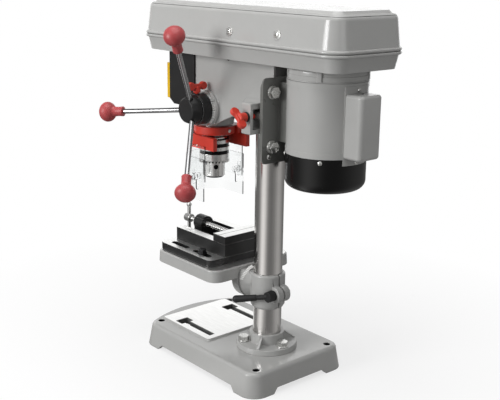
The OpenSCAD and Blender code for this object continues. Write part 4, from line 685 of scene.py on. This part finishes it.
# Chuck guard
# A red moulded ring clamps to the quill's collar and carries a red bow on a pivot pin. Clear sheets
# of bent polycarbonate hang from the bow; two wing nuts hold the lower one at its height.
eased("guard_ring", 0.8, red_plastic)
eased("guard_frame", 0.8, red_plastic)
clear_plastic, clear_tree, clear_shader, clear_where = blank_finish("clear_plastic")
clear_shader.inputs["Transmission Weight"].default_value = 1.0
clear_shader.inputs["IOR"].default_value = 1.4
clear_haze = cloud(clear_tree, clear_where, 25.0)
clear_tree.links.new(between(clear_tree, clear_haze, (0.955, 0.965, 0.965), (0.985, 0.99, 0.99)),
                     clear_shader.inputs["Base Color"])
clear_tree.links.new(spread(clear_tree, clear_haze, 0.02, 0.06), clear_shader.inputs["Roughness"])
coat(clear_plastic, "guard_visor")
eased("guard_nut_right", 0.5, clear_plastic)
eased("guard_nut_left", 0.5, clear_plastic)


def bow_path(radius, rear, bend_y):
    """Plan of a U round the chuck: straight from the rear, half a circle, straight back."""
    bend = np.radians(np.linspace(-180.0, 0.0, 60))
    bent = np.column_stack([radius * np.cos(bend), bend_y + radius * np.sin(bend)])
    return np.vstack([[[-radius, rear]], bent, [[radius, rear]]])


def bent_sheet(radius, thick, rear, bend_y, low, high):
    """Grid of a bent sheet: its outer face, top edge, inner face and lower edge follow one another as
    rows, and a first and a last column in mid thickness close its two ends."""
    outer, inner = bow_path(radius, rear, bend_y), bow_path(radius - thick, rear, bend_y)
    grid = np.stack([np.column_stack([plan, np.full(len(plan), height)])
                     for plan, height in ((outer, low), (outer, high), (inner, high), (inner, low))])
    ends = (grid + grid[[3, 2, 1, 0]]) / 2.0
    return np.concatenate([ends[:, :1], grid, ends[:, -1:]], axis=1)


panel = surface("clear_panel", bent_sheet(40.7, 1.9, -51.0, -84.0, 297.5, 356.5), "guard",
                clear_plastic, wrap=(True, False))
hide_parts("guard_panel")
guard_screw_places = [(38.7, -73.5, 355.5), (-38.7, -73.5, 355.5)]
surface("guard_screws", pan_heads(guard_screw_places, [(1, 0, 0), (-1, 0, 0)], 4.0), "guard", zinc)
clamp_turn = np.radians(97.0)
clamp_way = np.array([np.cos(clamp_turn), np.sin(clamp_turn), 0.0])
clamp_screw_place = 34.0 * clamp_way + (0.0, spindle_y, 379.5)
surface("guard_clamp_screw", pan_heads([clamp_screw_place], [clamp_way], 6.0), "quill", zinc)

# Belt housing
# Pan and lid are pressed from sheet and enamelled; the lid hinges on the left and two screws at the
# right hold it shut. Cast step pulleys and one V belt run inside.
sheet_finish = enamel("grey_enamel_sheet", (0.44, 0.44, 0.43), 0.18, 0.3)
coat(sheet_finish, "belt_pan", "belt_lid")
lid_screw_places = np.array([(70.3, 47.0, 550.0), (70.1, 151.0, 552.0)])
lid_way = np.array([1.0, 0.0, 0.1])
lid_washer = ring_profile(2.0, 7.0, -0.6, 0.7, 0.3)
surface("lid_washers", np.stack([turned(lid_washer, place, lid_way, 48) for place in lid_screw_places]),
        "lid", zinc)
surface("lid_screws", pan_heads(lid_screw_places + 0.06 * lid_way, [lid_way, lid_way], 8.0),
        "lid", zinc)
rubber = moulded("belt_rubber", (0.012, 0.012, 0.012), 0.65, 300.0, 0.0001)
coat(rubber, "v_belt")
pulley_metal = metal("pulley_metal", (0.52, 0.53, 0.54), 0.33, (60.0, 60.0, 900.0))
coat(pulley_metal, "spindle_pulley", "motor_pulley")

# Motor
# An enclosed motor: rolled shell, cast end bell with four ribs, black moulded fan cover and a
# capacitor box on a foot plate. It hangs on a dark steel plate that slides to tension the belt.
motor_y = 184.0
coat(grey_finish, "motor_shell")
# Half section of the end bell: a flange with a round rim, a straight wall and a rounded shoulder.
bell_profile = np.vstack([[[8.0, 490.1]], arc((58.2, 491.2), 1.0, -90.0, 90.0),
                          [[58.2, 498.3], [57.6, 499.0]], arc((54.6, 503.4), 3.0, 0.0, 90.0, 8),
                          [[8.0, 506.4], [8.0, 490.1]]])
bell = surface("end_bell", turned(bell_profile, (0.0, motor_y, 0.0), (0.0, 0.0, 1.0), 160), "motor",
               grey_finish)
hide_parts("motor_bell")


def boxed(left, right, back, front, low, high, corner, edge):
    """Grid of a box with an open back: its plan, a U with round corners, is drawn in along its normals by
    a quarter circle towards the lower and the upper edge; a first and a last row in its middle close it."""
    quarter = np.radians(np.linspace(0.0, 90.0, 10))
    turn = np.concatenate([[0.0], quarter, quarter + np.pi / 2.0, [np.pi]])
    normal = np.column_stack([np.cos(turn), np.sin(turn)])
    pivot = np.repeat([[right - corner, back], [right - corner, front - corner],
                       [left + corner, front - corner], [left + corner, back]], [1, 10, 10, 1], axis=0)
    drawn = edge * (1.0 - np.sin(np.concatenate([quarter, quarter[::-1]])))
    rise = np.concatenate([low + edge * (1.0 - np.cos(quarter)), high - edge * (1.0 - np.cos(quarter[::-1]))])
    plan = pivot[None] + (corner - drawn)[:, None, None] * normal[None]
    walls = np.concatenate([plan, np.broadcast_to(rise[:, None, None], (*plan.shape[:2], 1))], -1)
    middle = np.array([(left + right) / 2.0, (back + front) / 2.0, 0.0])
    ends = [np.broadcast_to(middle + (0.0, 0.0, height), (1, len(turn), 3)) for height in (low, high)]
    return np.concatenate([ends[0], walls, ends[1]])


def round_motor(grid, turn):
    """A grid that stands along +Y of the motor's axis, turned about that axis until it stands at an angle."""
    out, side = np.array([np.cos(turn), np.sin(turn)]), np.array([np.sin(turn), -np.cos(turn)])
    plan = grid[..., :1] * side + grid[..., 1:2] * out + (0.0, motor_y)
    return np.concatenate([plan, grid[..., 2:]], -1)


rib = boxed(-4.0, 4.0, 54.0, 59.9, 491.6, 505.4, 1.6, 1.2)
rib_turns = np.radians(32.5 + 90.0 * np.arange(4))
surface("bell_ribs", np.stack([round_motor(rib, turn) for turn in rib_turns]), "motor", grey_finish,
        wrap=(False, False))
case = surface("capacitor_case", boxed(-22.0, 21.5, 236.0, 270.2, 385.0, 475.6, 7.5, 4.5), "motor",
               grey_finish, wrap=(False, False))
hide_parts("capacitor_box")
# The foot plate is bent round the shell: a short arc at two radii and two heights gives the four rows, and
# a first and a last column at the inner radius close its long sides.
foot_low, foot_high, foot_inner, foot_outer = 375.0, 486.0, 58.3, 60.1
foot_turn = np.radians(np.linspace(68.0, 112.0, 40))
foot_plate = np.stack([np.column_stack([reach * np.cos(foot_turn), motor_y + reach * np.sin(foot_turn),
                                        np.full(len(foot_turn), height)])
                       for reach, height in ((foot_inner, foot_low), (foot_outer, foot_low),
                                             (foot_outer, foot_high), (foot_inner, foot_high))])
foot_sides = foot_plate[[0, 0, 3, 3]]
surface("capacitor_foot", np.concatenate([foot_sides[:, :1], foot_plate, foot_sides[:, -1:]], axis=1),
        "motor", grey_finish, wrap=(False, False))
fan_black = moulded("fan_cover_black", (0.004, 0.004, 0.004), 0.16, depth=0.000004, shine=0.32)
coat(fan_black, "fan_cover")
fan_turn = np.radians(37.3 + 90.0 * np.arange(4))
fan_out = np.column_stack([np.cos(fan_turn), np.sin(fan_turn), np.zeros(4)])
surface("fan_cover_screws", pan_heads(59.4 * fan_out + (0.0, motor_y, 379.0), fan_out, 6.4),
        "motor", zinc)
foot_screw_places = [(0.0, 244.1, 480.6), (0.0, 244.1, 378.6)]
surface("capacitor_screws", pan_heads(foot_screw_places, [(0, 1, 0), (0, 1, 0)], 6.0), "motor", zinc)
dark_plate = enamel("dark_plate", (0.16, 0.162, 0.153), 0.3, 0.5)
eased("motor_plate", 0.5, dark_plate)
eased("motor_slide", 0.5, dark_plate)
surface("plate_screw", pan_heads([(52.7, 119.0, 371.3)], [(0, 1, 0)], 8.0), "motor", zinc)
pale_plastic = moulded("pale_plastic", (0.6, 0.59, 0.55), 0.45)
coat(pale_plastic, "cooling_fan")
eased("tension_screw", 1.2, red_plastic)
tension_collar = ring_profile(4.0, 7.6, 79.2, 82.6, 0.6)
surface("tension_collar", turned(tension_collar, (0.0, 99.0, 431.0), (1.0, 0.0, 0.0)),
        "tension", black_plastic)

# Switch
# A black moulded box is screwed to the front of the head. Its yellow flap carries the red stop button and
# lifts off the green start button underneath.
eased("switch_box", 0.8, black_plastic)
yellow_plastic = moulded("yellow_plastic", (0.82, 0.5, 0.012), 0.35)
eased("switch_flap", 0.8, yellow_plastic)
coat(red_plastic, "stop_button")
green_plastic = moulded("green_plastic", (0.03, 0.3, 0.07), 0.35)
coat(green_plastic, "start_button")
switch_screw_places = [(31.0, -140.0, 505.0), (-31.0, -140.0, 505.0)]
surface("switch_screws", pan_heads(switch_screw_places, [(0, 0, 1), (0, 0, 1)], 5.0), "stand", zinc)
